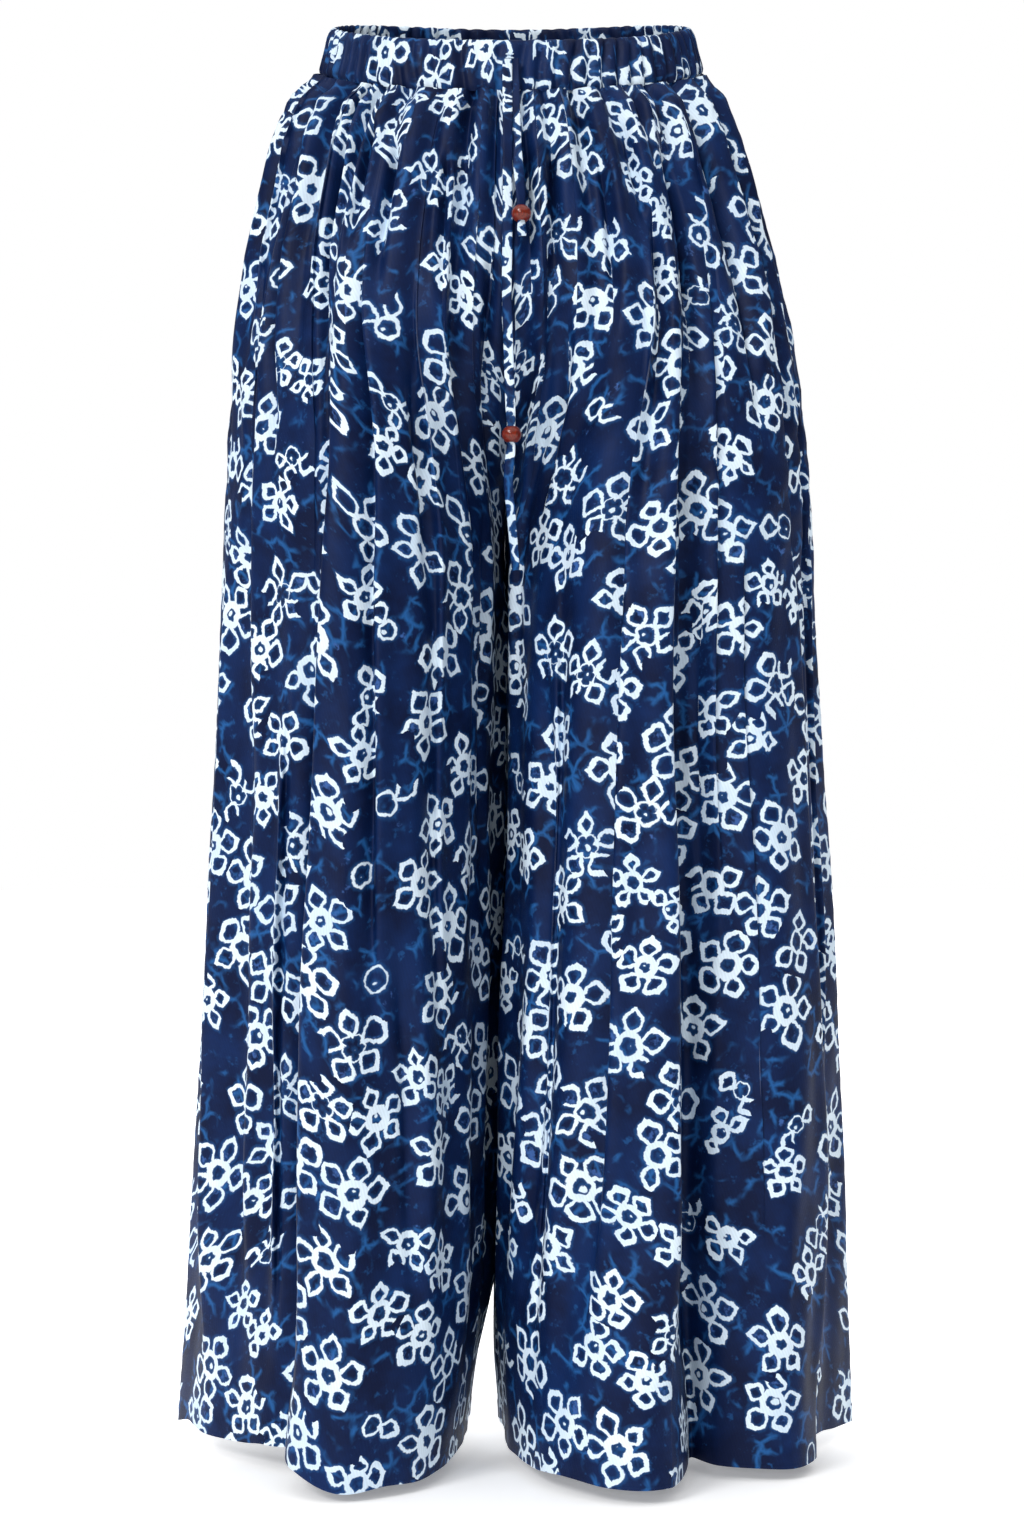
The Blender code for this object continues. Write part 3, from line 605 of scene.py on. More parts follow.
def band_points(turn, chance):
    """The band's section at a place turn radians round from the front."""
    foot = LEVELS[0]
    depth = foot.front + (foot.back - foot.front) * (1 - cos(turn)) / 2
    height = BAND_HEIGHT + BAND_FRONT_EXTRA * max(0.0, cos(turn)) ** 2
    tilt = float(waist_tilt(cos(turn)))
    points = []
    for profile in BAND_PROFILE:
        drift = 0.55 * sin(2.1 * turn + 3.4 * profile.height)
        drift += 0.35 * sin(5 * turn - 2.6 * profile.height)
        phase = (BAND_RUCHES * turn + drift * 2.2) / (2 * pi)
        swell = float(np.interp(phase % BAND_RUCHES, range(BAND_RUCHES + 1), chance))
        wave = cos(2 * pi * phase)
        wave = 1 - 2 * ((1 - wave) / 2) ** 2.0
        lean = BAND_LEAN * profile.height
        out = BAND_WALL * (profile.wall - 1.3) - lean + wave * profile.ruche * RUCHE_DEPTH * swell
        x, y = oval_point(turn, foot.left + out, depth + out)
        edge = 0.0005 * wave * swell * max(0.0, profile.height - 0.6)
        points.append((x, y, WAIST_SEAM_Z + 0.0003 + tilt + height * profile.height + edge))
    return points


def make_band(material):
    """The ruched band: its section, carried round the waist."""
    chance = np.random.RandomState(5).uniform(0.7, 2.1, BAND_RUCHES + 1)
    chance[-1] = chance[0]
    steps = BAND_RUCHES * RUCHE_STEPS
    turns = [2 * pi * (step + 0.5) / steps - pi for step in range(steps + 1)]
    grid = np.array([band_points(turn, chance) for turn in turns]).transpose(1, 0, 2)
    rows, columns = grid.shape[:2]
    number = np.arange(rows * columns).reshape(rows, columns)
    number[:, -1] = number[:, 0]
    faces = grid_quads(number)
    kept = np.unique(faces)
    place = np.zeros(rows * columns, int)
    place[kept] = np.arange(len(kept))
    along = lengths_along(grid[OUTER_RING])
    along *= BAND_CUT_LENGTH / along[-1]
    up = lengths_along(grid[:, 0])
    along += 0.0018 * np.sin(BAND_RUCHES * np.array(turns))
    along, above = along + BAND_CUT_FROM[0], up + BAND_CUT_FROM[1]
    flat = np.stack(np.broadcast_arrays(along[None, :], above[:, None]), 2)
    corners = grid_quads(np.arange(rows * columns).reshape(rows, columns))
    flat_points = flat.reshape(-1, 2)[corners.ravel()]
    points = grid.reshape(-1, 3)[kept].tolist()
    made = mesh_object(
        "cloth_waistband", points, place[faces].tolist(), flat_points, [material], None
    )
    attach(made, "root")
    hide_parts("waistband")
    return made


# ---- drawstring ----
def band_face(z):
    """Where the ties lie on the band's outer face, in the middle of the front at height z."""
    up = (z - (WAIST_SEAM_Z - FRONT_DIP)) / (BAND_HEIGHT + BAND_FRONT_EXTRA)
    return BAND_LEAN * up + BAND_WALL * 0.15 - LEVELS[0].front - RUCHE_DEPTH


def route_points(route):
    """The route as points in space, lying on the cloth and then hanging plumb in front of it."""
    points = []
    cloth = 0.0
    for hang in route:
        if hang.z > WAIST_SEAM_Z - FRONT_DIP:
            cloth = band_face(hang.z)
        else:
            level_z = hang.z + FRONT_DIP * (1 - min(1.0, -hang.z / TILT_REACH)) ** 2
            part = parting(level_z)
            cloth = min(cloth, -level_at(level_z).front * (1 - part) * depth_scale(part))
        points.append(Vector((hang.x, cloth - hang.off, hang.z)))
    return points


def evenly_spaced(points, spacing):
    """Points at one spacing along a smooth curve through the given ones."""
    dense = []
    last = len(points) - 1
    for i in range(last):
        near = [points[max(0, min(last, i + step))] for step in (-1, 0, 1, 2)]
        dense += [Vector([spline(*axis, step / 24) for axis in zip(*near)]) for step in range(24)]
    dense.append(points[-1])
    lengths = [0.0]
    for a, b in zip(dense, dense[1:]):
        lengths.append(lengths[-1] + (b - a).length)
    count = max(3, round(lengths[-1] / spacing))
    result = []
    i = 0
    for step in range(count + 1):
        target = lengths[-1] * step / count
        while i < len(dense) - 2 and lengths[i + 1] < target:
            i += 1
        share = (target - lengths[i]) / (lengths[i + 1] - lengths[i])
        result.append(dense[i].lerp(dense[i + 1], min(1.0, share)))
    return result


# The tie's section, round from its left edge: share of its half width, and of its half thickness.
TIE_SECTION = (
    (-1.00, 0.0), (-0.95, -0.62), (-0.72, -0.92), (-0.36, -0.86), (0.0, -0.80), (0.36, -0.86),
    (0.72, -0.92), (0.95, -0.62), (1.00, 0.0), (0.95, 0.62), (0.60, 0.90), (0.0, 0.84),
    (-0.60, 0.90), (-0.95, 0.62),
)


def make_tie(tie, settings, material):
    """A flat sewn tie, swept along its route and bunched where it goes through the bead."""
    points = evenly_spaced(route_points(tie.route), 0.0022)
    last = len(points) - 1
    rings, flat = [], []
    length = 0.0
    for i, point in enumerate(points):
        along = (points[min(last, i + 1)] - points[max(0, i - 1)]).normalized()
        if i:
            length += (point - points[i - 1]).length
        share = i / last
        bunched = exp(-(((point.z - tie.bead_z) / 0.0085) ** 2))
        width = settings.tape_width / 2 * (1 - 0.40 * bunched)
        thick = settings.tape_thickness / 2 * (1 + 0.85 * bunched)
        turn = radians(tie.turn_top * (1 - share) + tie.turn_end * share)
        turn += radians(9) * sin(13 * share + tie.bead_z * 40)
        side = Vector((1, 0, 0)) - along * along.x
        side.normalize()
        front = along.cross(side)
        wide = side * cos(turn) + front * sin(turn)
        deep = along.cross(wide)
        if i == last:
            width, thick = width * 0.80, thick * 0.5
        rings.append([point + wide * (width * a) + deep * (thick * b) for a, b in TIE_SECTION])
        around = [0.0]
        for a, b in zip(rings[-1], [*rings[-1][1:], rings[-1][0]]):
            around.append(around[-1] + (b - a).length)
        flat.append([(tie.cut[0] + x, tie.cut[1] + length) for x in around])
    sides = len(TIE_SECTION)
    verts = [v for ring in rings for v in ring]
    faces, corners = [], []
    for i in range(last):
        for j in range(sides):
            k = (j + 1) % sides
            faces.append((i * sides + j, i * sides + k, (i + 1) * sides + k, (i + 1) * sides + j))
            corners += [flat[i][j], flat[i][j + 1], flat[i + 1][j + 1], flat[i + 1][j]]
    faces.append(tuple(range(sides))[::-1])
    faces.append(tuple(last * sides + j for j in range(sides)))
    corners += [flat[0][j] for j in range(sides)][::-1] + [flat[last][j] for j in range(sides)]
    name = tie.cord.replace("drawstring", "tie")
    made = mesh_object(name, [tuple(v) for v in verts], faces, corners, [material], 75)
    return made, points, length


# ---- beads and stitches ----
def deselect_all():
    for obj in bpy.context.selected_objects:
        obj.select_set(False)


def make_bead(tie, settings, material):
    """A barrel bead: half of its wall's section, turned round the bore, its rims rounded over."""
    deselect_all()
    bore = settings.bore / 2
    bpy.ops.mesh.primitive_circle_add(
        vertices=28, radius=1.0, fill_type="NOTHING",
        location=(0, 0, 0), rotation=(radians(90), 0, 0),
    )
    bead = bpy.context.active_object
    bead.name = tie.bead.replace("bead", "wood_bead")
    bead.data.name = bead.name
    bpy.ops.object.transform_apply(location=False, rotation=True, scale=False)
    for vertex in bead.data.vertices:
        x, _, z = vertex.co
        height = settings.length / 2 * (abs(z) ** 0.88) * (1 if z > 0 else -1)
        outside = settings.diameter / 2 * (1 - (height / (settings.length * 0.62)) ** 2) ** 0.5
        if x > 0.001:
            radius = bore + (outside - bore) * abs(x) ** 0.30
        else:
            radius = bore + 0.0006 * (1 - abs(x) ** 0.30)
        vertex.co = (radius, 0.0, height)
    bpy.ops.object.mode_set(mode="EDIT")
    bpy.ops.mesh.select_all(action="SELECT")
    bpy.ops.mesh.spin(steps=56, dupli=False, angle=2 * pi, center=(0, 0, 0), axis=(0, 0, 1))
    bpy.ops.mesh.select_all(action="SELECT")
    bpy.ops.mesh.remove_doubles(threshold=0.00002)
    bpy.ops.mesh.normals_make_consistent(inside=False)
    bpy.ops.object.mode_set(mode="OBJECT")
    points = evenly_spaced(route_points(tie.route), 0.001)
    near = min(range(len(points)), key=lambda i: abs(points[i].z - tie.bead_z))
    along = points[near - 5] - points[near + 5]
    place = (points[near - 5] + points[near + 5]) / 2
    turned = along.to_track_quat("Z", "Y").to_matrix().to_4x4()
    bead.data.transform(Matrix.Translation(place) @ turned)
    bead.data.materials.clear()
    bead.data.materials.append(material)
    bead.data.shade_smooth()
    return bead


BAR_HEIGHTS = (-0.0222, -0.0249)
BAR_X = -0.0008
BAR_HALF_LENGTH = 0.0028
BAR_RADIUS = 0.0008


def make_bar_tack(material):
    """Two short bars of thread, sewn side by side over the place where the ties come out."""
    parts = []
    for z in BAR_HEIGHTS:
        deselect_all()
        bpy.ops.mesh.primitive_uv_sphere_add(
            segments=24, ring_count=12, radius=1.0, location=(0, 0, 0)
        )
        bar = bpy.context.active_object
        place = Matrix.Translation((BAR_X, band_face(z) - BAR_RADIUS, z))
        bar.data.transform(place @ Matrix.Diagonal((BAR_HALF_LENGTH, BAR_RADIUS, BAR_RADIUS, 1.0)))
        parts.append(bar)
    for bar in parts:
        bar.select_set(True)
    bpy.ops.object.join()
    made = bpy.context.active_object
    made.name = "bar_tack"
    made.data.name = made.name
    made.data.materials.append(material)
    made.data.shade_smooth()
    return made


# ---- materials ----
MATH = "ShaderNodeMath"
VECTOR = "ShaderNodeVectorMath"
MIX = "ShaderNodeMix"
NOISE = "ShaderNodeTexNoise"
VORONOI = "ShaderNodeTexVoronoi"
WHITE_NOISE = "ShaderNodeTexWhiteNoise"
RAMP = "ShaderNodeMapRange"


def linear(colour):
    """A linear colour from an sRGB hex value."""
    values = [int(colour[i: i + 2], 16) / 255 for i in (1, 3, 5)]
    return (*(v / 12.92 if v <= 0.04045 else ((v + 0.055) / 1.055) ** 2.4 for v in values), 1.0)


def add(tree, kind, *inputs, out=0, **settings):
    """Adds a node with settings, and with values or links for its inputs. Gives an output."""
    made = tree.nodes.new(kind)
    for name, value in settings.items():
        setattr(made, name, value)
    for socket, value in zip([s for s in made.inputs if s.enabled], inputs):
        if isinstance(value, bpy.types.NodeSocket):
            tree.links.new(value, socket)
        elif value is not None:
            socket.default_value = value
    return [s for s in made.outputs if s.enabled][out] if out != "all" else made


def do(tree, operation, *inputs):
    """A maths node."""
    return add(tree, MATH, *inputs, operation=operation)


def soften(tree, *inputs):
    """A map from one range to another with soft ends."""
    return add(tree, RAMP, *inputs, interpolation_type="SMOOTHSTEP")


def blend(tree, share, first, second):
    """A colour between two others."""
    return add(tree, MIX, share, first, second, data_type="RGBA")


def noise(tree, place, scale, detail, roughness, **settings):
    """Noise over the flat cloth."""
    return add(
        tree, NOISE, place, scale, detail, roughness, 2.0, 0.0, noise_dimensions="2D", **settings
    )


def sideways(tree, colour, reach):
    """A colour as a step to any side, reach across in all."""
    return add(
        tree, VECTOR, colour, (reach, reach, 0.0), (-reach / 2, -reach / 2, 0.0),
        operation="MULTIPLY_ADD",
    )


def colour_of(tree, shader, colour, roughness, shine):
    """Sets a shader's colour, its roughness and how much its surface mirrors."""
    tree.links.new(colour, shader.inputs["Base Color"])
    shader.inputs["Roughness"].default_value = roughness
    shader.inputs["Specular IOR Level"].default_value = shine


def empty_material(name):
    made = bpy.data.materials.new(name)
    made.use_nodes = True
    tree = made.node_tree
    tree.nodes.clear()
    shader = tree.nodes.new("ShaderNodeBsdfPrincipled")
    output = tree.nodes.new("ShaderNodeOutputMaterial")
    tree.links.new(shader.outputs[0], output.inputs[0])
    return made, tree, shader


def add_bump(tree, shader, height, strength, distance):
    bump = add(tree, "ShaderNodeBump", out="all")
    bump.inputs["Strength"].default_value = strength
    bump.inputs["Distance"].default_value = distance
    tree.links.new(height, bump.inputs["Height"])
    tree.links.new(bump.outputs[0], shader.inputs["Normal"])


def flower_field(tree, place, settings):
    """How far a point lies inside the flowers' white, in flower sizes, and inside their loops.

    Each cell of an uneven layout holds a five-petal flower at its own turn. A petal is an open
    loop, pointed or round. The petals meet in a white web round a dark middle with a dot."""
    spacing = settings.motif_spacing * 1000
    share = 1 / spacing
    cell = add(tree, VORONOI, place, share, 0.0, 0.5, 2.0, 0.42, out="all", voronoi_dimensions="2D")
    near = add(
        tree, VORONOI, place, share, 0.42, voronoi_dimensions="2D", feature="N_SPHERE_RADIUS"
    )
    dice = add(tree, "ShaderNodeSeparateColor", cell.outputs["Color"], out="all").outputs
    spoke = add(tree, VECTOR, place, cell.outputs["Position"], operation="SUBTRACT")
    split = add(tree, "ShaderNodeSeparateXYZ", spoke, out="all").outputs
    length = add(tree, VECTOR, spoke, operation="LENGTH", out="all").outputs["Value"]
    size = do(tree, "MULTIPLY", near, spacing * 1.22)
    size = do(tree, "MINIMUM", size, settings.motif_radius * 1000)
    radius = do(tree, "DIVIDE", length, size)
    stroke = do(tree, "DIVIDE", settings.stroke * 1000, size)

    angle = do(tree, "ARCTAN2", split[1], split[0])
    turned = do(tree, "MULTIPLY", dice[0], 5.0)
    turn = do(tree, "MULTIPLY_ADD", angle, 5 / (2 * pi), turned)
    petal = do(tree, "FLOOR", turn)
    off = do(tree, "FRACT", turn)
    off = do(tree, "MULTIPLY_ADD", off, 2 * pi / 5, -pi / 5)
    along = do(tree, "MULTIPLY", do(tree, "COSINE", off), radius)
    beside = do(tree, "MULTIPLY", do(tree, "SINE", off), radius)
    across = do(tree, "ABSOLUTE", beside)

    number = do(tree, "WRAP", petal, 5.0, 0.0)
    seed_x = do(tree, "MULTIPLY_ADD", dice[1], 91.7, number)
    seed_y = do(tree, "MULTIPLY", dice[2], 57.3)
    seed = add(tree, "ShaderNodeCombineXYZ", seed_x, seed_y, 0.0)
    chance = add(tree, WHITE_NOISE, seed, noise_dimensions="3D", out="all").outputs
    own = add(tree, "ShaderNodeSeparateColor", chance["Color"], out="all").outputs
    reach = do(tree, "MULTIPLY_ADD", own[0], 0.24, 0.84)
    wide = do(tree, "MULTIPLY_ADD", own[1], 0.11, 0.300)
    blunt = do(tree, "MULTIPLY_ADD", own[2], 2.2, 1.6)

    def loop(start, end, half_width):
        """Inside a kite with soft corners, from start to end along the petal."""
        t = add(tree, RAMP, along, start, end, 0.0, 1.0, clamp=False)
        rise = do(tree, "MULTIPLY", t, 2.0)
        fall = do(tree, "SUBTRACT", 1.0, t)
        fall = do(tree, "MULTIPLY", fall, blunt)
        bow = do(tree, "SMOOTH_MIN", rise, fall, 1.25)
        bow = do(tree, "SMOOTH_MIN", bow, 1.05, 0.60)
        return do(tree, "SUBTRACT", do(tree, "MULTIPLY", bow, half_width), across)

    outline = loop(0.19, reach, wide)
    hole_start = do(tree, "MULTIPLY_ADD", stroke, 1.05, 0.20)
    hole_end = do(tree, "MULTIPLY_ADD", stroke, -1.30, reach)
    hole_wide = do(tree, "MULTIPLY_ADD", stroke, -0.92, wide)
    hole = loop(hole_start, hole_end, hole_wide)
    ring = do(tree, "MINIMUM", outline, do(tree, "MULTIPLY", hole, -1.0))

    # Some petals are missing, and some loops are open on one side.
    scrap = do(tree, "LESS_THAN", dice[1], 0.17)
    loose = do(tree, "LESS_THAN", dice[1], 0.32)
    rarity = do(tree, "MULTIPLY_ADD", scrap, 0.50, 0.05)
    missing = do(tree, "LESS_THAN", chance["Value"], rarity)
    ring = do(tree, "MULTIPLY_ADD", missing, -2.0, ring)
    opened = do(tree, "MULTIPLY_ADD", loose, 0.22, 0.09)
    opened = do(tree, "ADD", rarity, opened)
    opened = do(tree, "LESS_THAN", chance["Value"], opened)
    half = do(tree, "GREATER_THAN", beside, 0.02)
    outer_half = do(tree, "GREATER_THAN", along, 0.56)
    gone = do(tree, "MULTIPLY", do(tree, "MULTIPLY", opened, half), outer_half)
    ring = do(tree, "MULTIPLY_ADD", gone, -2.0, ring)

    web_size = do(tree, "MULTIPLY_ADD", loose, -0.05, 0.375)
    web = do(tree, "SUBTRACT", web_size, radius)
    corner = do(tree, "MULTIPLY", turn, 2 * pi)
    corner = do(tree, "COSINE", corner)
    middle = do(tree, "MULTIPLY_ADD", dice[0], 0.08, 0.130)
    middle = do(tree, "MULTIPLY_ADD", corner, 0.014, middle)
    middle = do(tree, "MULTIPLY_ADD", loose, 0.08, middle)
    web = do(tree, "MINIMUM", web, do(tree, "SUBTRACT", radius, middle))
    dot_size = do(tree, "MULTIPLY_ADD", dice[2], 0.13, -0.03)
    off_centre = sideways(tree, cell.outputs["Color"], 4.0)
    off_centre = add(tree, VECTOR, spoke, off_centre, operation="SUBTRACT")
    off_centre = add(tree, VECTOR, off_centre, operation="LENGTH", out="all").outputs["Value"]
    off_centre = do(tree, "DIVIDE", off_centre, size)
    dot = do(tree, "SUBTRACT", dot_size, off_centre)
    flower = do(tree, "MAXIMUM", do(tree, "MAXIMUM", ring, web), dot)
    return flower, hole


def printed_cloth(name, settings, reverse=False):
    """Rayon twill, woven fine and smooth, wax-printed white and blue on indigo: a soft satin sheen.

    The reverse is the same cloth from inside, with paler dye and the print showing through."""
    made, tree, shader = empty_material(name)
    flat = add(tree, "ShaderNodeUVMap", uv_map="cloth_flat")
    mm = add(tree, VECTOR, flat, 1000.0, operation="SCALE")
    mm = add(
        tree, "ShaderNodeVectorRotate", mm, (0.0, 0.0, 0.0), radians(27), rotation_type="Z_AXIS"
    )
    wobble = noise(tree, mm, 0.10, 3.0, 0.62, out="all")
    shift = sideways(tree, wobble.outputs["Color"], 5.2)
    place = add(tree, VECTOR, mm, shift, operation="ADD")
    flower, hole = flower_field(tree, place, settings)

    white = soften(tree, flower, -0.012, 0.020, 0.0, 1.0)
    halo = soften(tree, flower, -0.13, 0.0, 0.0, 1.0)

    # Crackle veins: dye that ran into cracks of the wax, in soft short branches.
    strong = noise(tree, mm, 0.05, 1.5, 0.5, out="all")
    bend = sideways(tree, strong.outputs["Color"], 11.0)
    bent = add(tree, VECTOR, mm, bend, operation="ADD")
    crack = add(
        tree, VORONOI, bent, 1 / 16, 0.90, voronoi_dimensions="2D", feature="DISTANCE_TO_EDGE"
    )
    vein = soften(tree, crack, 0.0, 0.135, 0.80, 0.0)
    patch = noise(tree, mm, 0.042, 2.0, 0.5)
    where = soften(tree, patch, 0.49, 0.65, 0.0, 1.0)
    vein = do(tree, "MULTIPLY", vein, where)
    blots = noise(tree, mm, 0.085, 3.0, 0.7)
    blot = soften(tree, blots, 0.62, 0.76, 0.0, 0.40)
    vein = do(tree, "MAXIMUM", vein, blot)
    near_flower = do(tree, "MULTIPLY", halo, 0.36)
    vein = do(tree, "MAXIMUM", vein, near_flower)

    cloudy = noise(tree, mm, 0.02, 4.0, 0.6)
    cloud = add(tree, RAMP, cloudy, 0.35, 0.68, 0.0, 1.0)
    indigo = blend(tree, cloud, settings.indigo_dark, settings.indigo)
    dyed = blend(tree, vein, indigo, settings.vein_blue)
    in_loop = soften(tree, hole, 0.0, 0.05, 0.0, 1.0)
    stained = soften(tree, blots, 0.56, 0.72, 0.0, 0.75)
    stain = do(tree, "MULTIPLY", in_loop, stained)
    dyed = blend(tree, stain, dyed, settings.bleed_blue)
    greyed = add(tree, RAMP, cloudy, 0.40, 0.70, 0.0, 0.6)
    paste = blend(tree, greyed, settings.paste_white, settings.paste_shade)
    colour = blend(tree, white, dyed, paste)

    # The twill's lines lie every half millimetre, drawn at 1.5 mm here so that they still show.
    twill = add(
        tree, "ShaderNodeTexWave", mm, 0.21, 1.2, 2.0, 1.2, 0.5, 0.0,
        wave_type="BANDS", bands_direction="DIAGONAL", out="all",
    ).outputs["Fac"]
    # The ridges and grooves of the twill are also painted into the colour, as light and shade.
    shade = add(tree, RAMP, twill, 0.0, 1.0, 0.95, 1.03)
    colour = add(tree, VECTOR, colour, shade, operation="SCALE")
    if reverse:
        colour = blend(tree, 0.55, colour, settings.reverse_grey)
    slub = noise(tree, mm, 0.9, 2.0, 0.6)
    rough = add(tree, RAMP, slub, 0.3, 0.7, 0.46, 0.60)
    colour_of(tree, shader, colour, 0.5, 0.13)
    tree.links.new(rough, shader.inputs["Roughness"])
    height = do(tree, "MULTIPLY_ADD", twill, 0.5, slub)
    add_bump(tree, shader, height, 0.35, 0.00012)
    return made


def lacquered_wood(name, settings):
    """Turned hardwood, stained red-brown and lacquered: fine dark grain under a hard gloss."""
    made, tree, shader = empty_material(name)
    spot = add(tree, "ShaderNodeTexCoord", out="all").outputs["Object"]
    mm = add(tree, VECTOR, spot, 1000.0, operation="SCALE")
    fine = add(tree, VECTOR, mm, (1.6, 1.6, 0.35), operation="MULTIPLY")
    grain = add(tree, NOISE, fine, 1.0, 4.0, 0.65, 2.0, 0.4, out="all").outputs["Fac"]
    pores = add(tree, NOISE, mm, 3.2, 2.0, 0.5, 2.0, 0.0, out="all").outputs["Fac"]
    depth = add(tree, RAMP, grain, 0.34, 0.66, 0.0, 1.0)
    colour = blend(tree, depth, settings.stain_dark, settings.stain_light)
    speck = add(tree, RAMP, pores, 0.60, 0.72, 0.0, 0.6)
    colour = blend(tree, speck, colour, settings.stain_dark)
    colour_of(tree, shader, colour, 0.35, 0.20)
    add_bump(tree, shader, pores, 0.25, 0.0001)
    shader.inputs["Coat Weight"].default_value = 0.7
    shader.inputs["Coat Roughness"].default_value = 0.05
    return made


def sewing_thread(name, settings):
    """Pale cotton thread, two plies twisted together; its greyer bands are painted shade in the
    grooves between the plies.
    """
    made, tree, shader = empty_material(name)
    spot = add(tree, "ShaderNodeTexCoord", out="all").outputs["Object"]
    ply = add(
        tree, "ShaderNodeTexWave", spot, 420.0, 0.5, 1.0, 1.0, 0.5, 0.0,
        wave_type="BANDS", bands_direction="DIAGONAL", out="all",
    ).outputs["Fac"]
    # Painted shade: the greyer bands stand for the grooves of the twist, the whiter ones for its
    # lit crests.
    colour = blend(tree, ply, settings.paste_shade, settings.paste_white)
    colour_of(tree, shader, colour, 0.75, 0.2)
    return made


# ---- settings ----
def colour_property(name, description, colour):
    return bpy.props.FloatVectorProperty(
        name=name, description=description, default=linear(colour),
        size=4, min=0, max=1, subtype="COLOR",
    )


def size_property(name, description, size):
    return bpy.props.FloatProperty(
        name=name, description=description, default=size, min=0, precision=5,
        unit="LENGTH", subtype="DISTANCE",
    )


def light_property(name, description, strength):
    return bpy.props.FloatProperty(name=name, description=description, default=strength, min=0)


class ClothSettings(bpy.types.PropertyGroup):
    """Sizes and colours of the printed cloth."""

    thickness: size_property("Thickness", "Thickness of the cloth", 0.0005)
    gather_depth: size_property("Gather depth", "Depth of the gathers under the band", 0.0074)
    motif_spacing: size_property("Flower spacing", "Distance between the flowers", 0.0490)
    motif_radius: size_property("Flower radius", "From a flower's middle to its petal tips", 0.0270)
    stroke: size_property("Line width", "Width of the white lines", 0.0035)
    indigo: colour_property("Indigo", "Ground of the print", "#082351")
    indigo_dark: colour_property("Dark indigo", "Darker clouds in the ground", "#031235")
    vein_blue: colour_property("Vein blue", "Crackle veins", "#235F9F")
    bleed_blue: colour_property("Bleed blue", "Dye that bled into the petals", "#3F63A4")
    paste_white: colour_property("White", "White of the flowers", "#E1F0FC")
    paste_shade: colour_property("Shaded white", "Greyer parts of the white", "#BCD2E7")
    reverse_grey: colour_property("Reverse", "Pale inside of the cloth", "#7E869C")


class TieSettings(bpy.types.PropertyGroup):
    """Sizes of the drawstring's two ends."""

    tape_width: size_property("Width", "Width of a tie", 0.0066)
    tape_thickness: size_property("Thickness", "Thickness of a tie", 0.0015)


class BeadSettings(bpy.types.PropertyGroup):
    """Sizes and colours of the wooden beads."""

    diameter: size_property("Diameter", "Outer diameter of a bead", 0.0130)
    length: size_property("Length", "Length of a bead along its bore", 0.0104)
    bore: size_property("Bore", "Diameter of the hole", 0.0046)
    stain_light: colour_property("Light stain", "Stained wood", "#8C260A")
    stain_dark: colour_property("Dark stain", "Grain and pores", "#4A1407")


class StudioSettings(bpy.types.PropertyGroup):
    """Camera, lights and floor."""

    distance: size_property("Distance", "From the camera to the middle of the garment", 2.0)
    view_height: size_property("View height", "Height of the picture at the garment", 1.0752)
    floor_drop: size_property("Floor", "The floor lies this far below the hems", 0.006)
    key: light_property("Key light", "Strength of the key light", 1.35)
    top: light_property("Top light", "Strength of the top light", 1.6)
    glint: light_property("Glint", "Strength of the small hard light", 0.60)
    sky: light_property("Surround", "Strength of the white surround", 0.20)


# ---- operators ----
class TROUSERS_OT_studio(bpy.types.Operator):
    """Set up the camera, the soft lights and the pale floor, which glows with painted light"""

    bl_idname = "trousers.studio"
    bl_label = "Studio"

    def execute(self, context):
        settings = context.scene.trousers_studio
        camera = bpy.data.objects.new("camera", bpy.data.cameras.new("camera"))
        context.collection.objects.link(camera)
        camera.location = (0.0007, -settings.distance, -0.499)
        camera.rotation_euler = (pi / 2, 0, 0)
        camera.data.sensor_width = 36
        camera.data.lens = 36 * settings.distance / settings.view_height
        context.scene.camera = camera
        for name, strength, angle, turn in (
            ("key_light", settings.key, 20, (radians(52), 0, radians(-38))),
            ("top_light", settings.top, 100, (radians(8), 0, 0)),
            ("glint_light", settings.glint, 9, (radians(72), 0, radians(-18))),
        ):
            light = bpy.data.objects.new(name, bpy.data.lights.new(name, "SUN"))
            context.collection.objects.link(light)
            light.data.energy = strength
            light.data.angle = radians(angle)
            light.rotation_euler = turn
        world = bpy.data.worlds.new("white_surround")
        world.use_nodes = True
        rays = add(world.node_tree, "ShaderNodeLightPath", out="all").outputs["Is Camera Ray"]
        glow = add(world.node_tree, RAMP, rays, 0.0, 1.0, settings.sky, 1.0)
        world.node_tree.nodes["Background"].inputs[0].default_value = (1, 1, 1, 1)
        world.node_tree.links.new(glow, world.node_tree.nodes["Background"].inputs[1])
        context.scene.world = world
        context.scene.view_settings.view_transform = "Standard"
        deselect_all()
        bpy.ops.mesh.primitive_circle_add(
            vertices=96, radius=9.0, fill_type="NGON", location=(0, 0, 0)
        )
        floor = context.active_object
        floor.name = "floor"
        lowest = CAD_BOX[0].z - settings.floor_drop
        floor.data.transform(Matrix.Translation((0, 0, lowest)))
        made, tree, shader = empty_material("white_paper_painted_glow")
        spot = add(tree, "ShaderNodeTexCoord", out="all").outputs["Object"]
        grain = add(tree, NOISE, spot, 90.0, 2.0, 0.5, 2.0, 0.0, out="all").outputs["Fac"]
        tone = blend(tree, grain, linear("#F6F6F6"), linear("#FBFBFB"))
        colour_of(tree, shader, tone, 0.9, 0.1)
        # The floor glows as painted light: weakly in front, so the shadow under the hems stays, and
        # strongly behind the garment, which whitens out the shade between and behind the legs.
        shader.inputs["Emission Color"].default_value = (1, 1, 1, 1)
        behind = add(tree, "ShaderNodeSeparateXYZ", spot, out="all").outputs["Y"]
        glow = soften(tree, behind, -0.11, 0.02, 0.24, 0.95)
        tree.links.new(glow, shader.inputs["Emission Strength"])
        floor.data.materials.append(made)
        return {"FINISHED"}


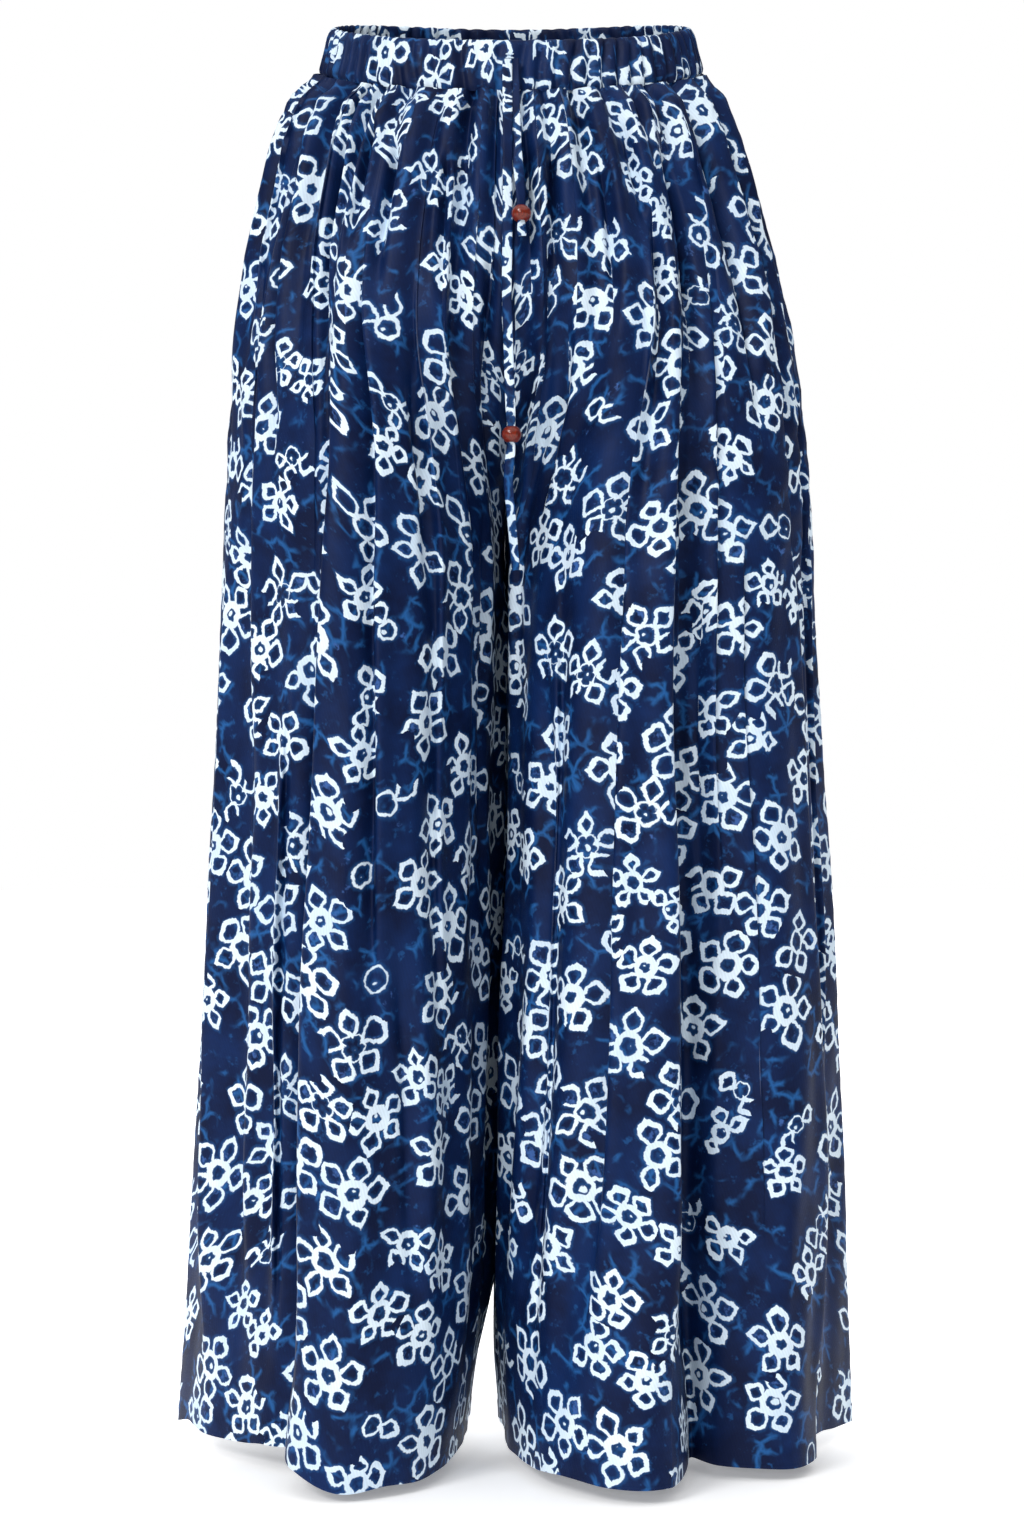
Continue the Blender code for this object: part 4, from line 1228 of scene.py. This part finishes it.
class TROUSERS_OT_drawstring(bpy.types.Operator):
    """Hang the two ends of the drawstring, each with its wooden bead"""

    bl_idname = "trousers.drawstring"
    bl_label = "Drawstring and beads"

    def execute(self, context):
        settings = context.scene.trousers_ties
        cloth = printed_cloth("printed_rayon_tie", context.scene.trousers_cloth)
        wood = lacquered_wood("stained_lacquered_wood", context.scene.trousers_beads)
        for tie in TIES:
            cord, points, length = make_tie(tie, settings, cloth)
            bead = make_bead(tie, context.scene.trousers_beads, wood)
            for piece, node, slot in (
                (cord, tie.cord, "printed_cloth"),
                (bead, tie.bead, "stained_wood"),
            ):
                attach(piece, "root")
                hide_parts(node)
        tack = make_bar_tack(sewing_thread("cotton_thread", context.scene.trousers_cloth))
        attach(tack, "root")
        return {"FINISHED"}


class TROUSERS_OT_leg_panels(bpy.types.Operator):
    """Make the four gathered leg panels"""

    bl_idname = "trousers.leg_panels"
    bl_label = "Leg panels"

    def execute(self, context):
        settings = context.scene.trousers_cloth
        face = printed_cloth("printed_rayon_twill", settings)
        inside = printed_cloth("printed_rayon_reverse", settings, reverse=True)
        for number, panel in enumerate(PANELS):
            made, width, length, area = make_panel(panel, number, settings, (face, inside))
        return {"FINISHED"}


class TROUSERS_OT_waistband(bpy.types.Operator):
    """Make the ruched waistband"""

    bl_idname = "trousers.waistband"
    bl_label = "Waistband"

    def execute(self, context):
        cloth = bpy.data.materials.get("printed_rayon_twill")
        if cloth is None:
            raise RuntimeError("the leg panels come first, as the band is cut from their cloth")
        make_band(cloth)
        return {"FINISHED"}


class TROUSERS_PT_pieces(bpy.types.Panel):
    """Lists the steps and their settings"""

    bl_idname = "TROUSERS_PT_pieces"
    bl_label = "Trousers"
    bl_space_type = "VIEW_3D"
    bl_region_type = "UI"
    bl_category = "Trousers"

    def draw(self, context):
        for operator, names in (
            (TROUSERS_OT_studio, ["trousers_studio"]),
            (TROUSERS_OT_drawstring, ["trousers_ties", "trousers_beads"]),
            (TROUSERS_OT_leg_panels, ["trousers_cloth"]),
            (TROUSERS_OT_waistband, []),
        ):
            self.layout.operator(operator.bl_idname)
            for name in names:
                settings = getattr(context.scene, name)
                for key in settings.__annotations__:
                    self.layout.prop(settings, key)


GROUPS = {
    "trousers_cloth": ClothSettings,
    "trousers_ties": TieSettings,
    "trousers_beads": BeadSettings,
    "trousers_studio": StudioSettings,
}
CLASSES = (
    *GROUPS.values(),
    TROUSERS_OT_studio,
    TROUSERS_OT_drawstring,
    TROUSERS_OT_leg_panels,
    TROUSERS_OT_waistband,
    TROUSERS_PT_pieces,
)


def register():
    for made in CLASSES:
        bpy.utils.register_class(made)
    for name, group in GROUPS.items():
        setattr(bpy.types.Scene, name, bpy.props.PointerProperty(type=group))


def unregister():
    for name in GROUPS:
        delattr(bpy.types.Scene, name)
    for made in reversed(CLASSES):
        bpy.utils.unregister_class(made)


def main():
    register()
    bpy.ops.trousers.studio()
    bpy.ops.trousers.drawstring()
    bpy.ops.trousers.leg_panels()
    bpy.ops.trousers.waistband()


if __name__ == "__main__":
    main()
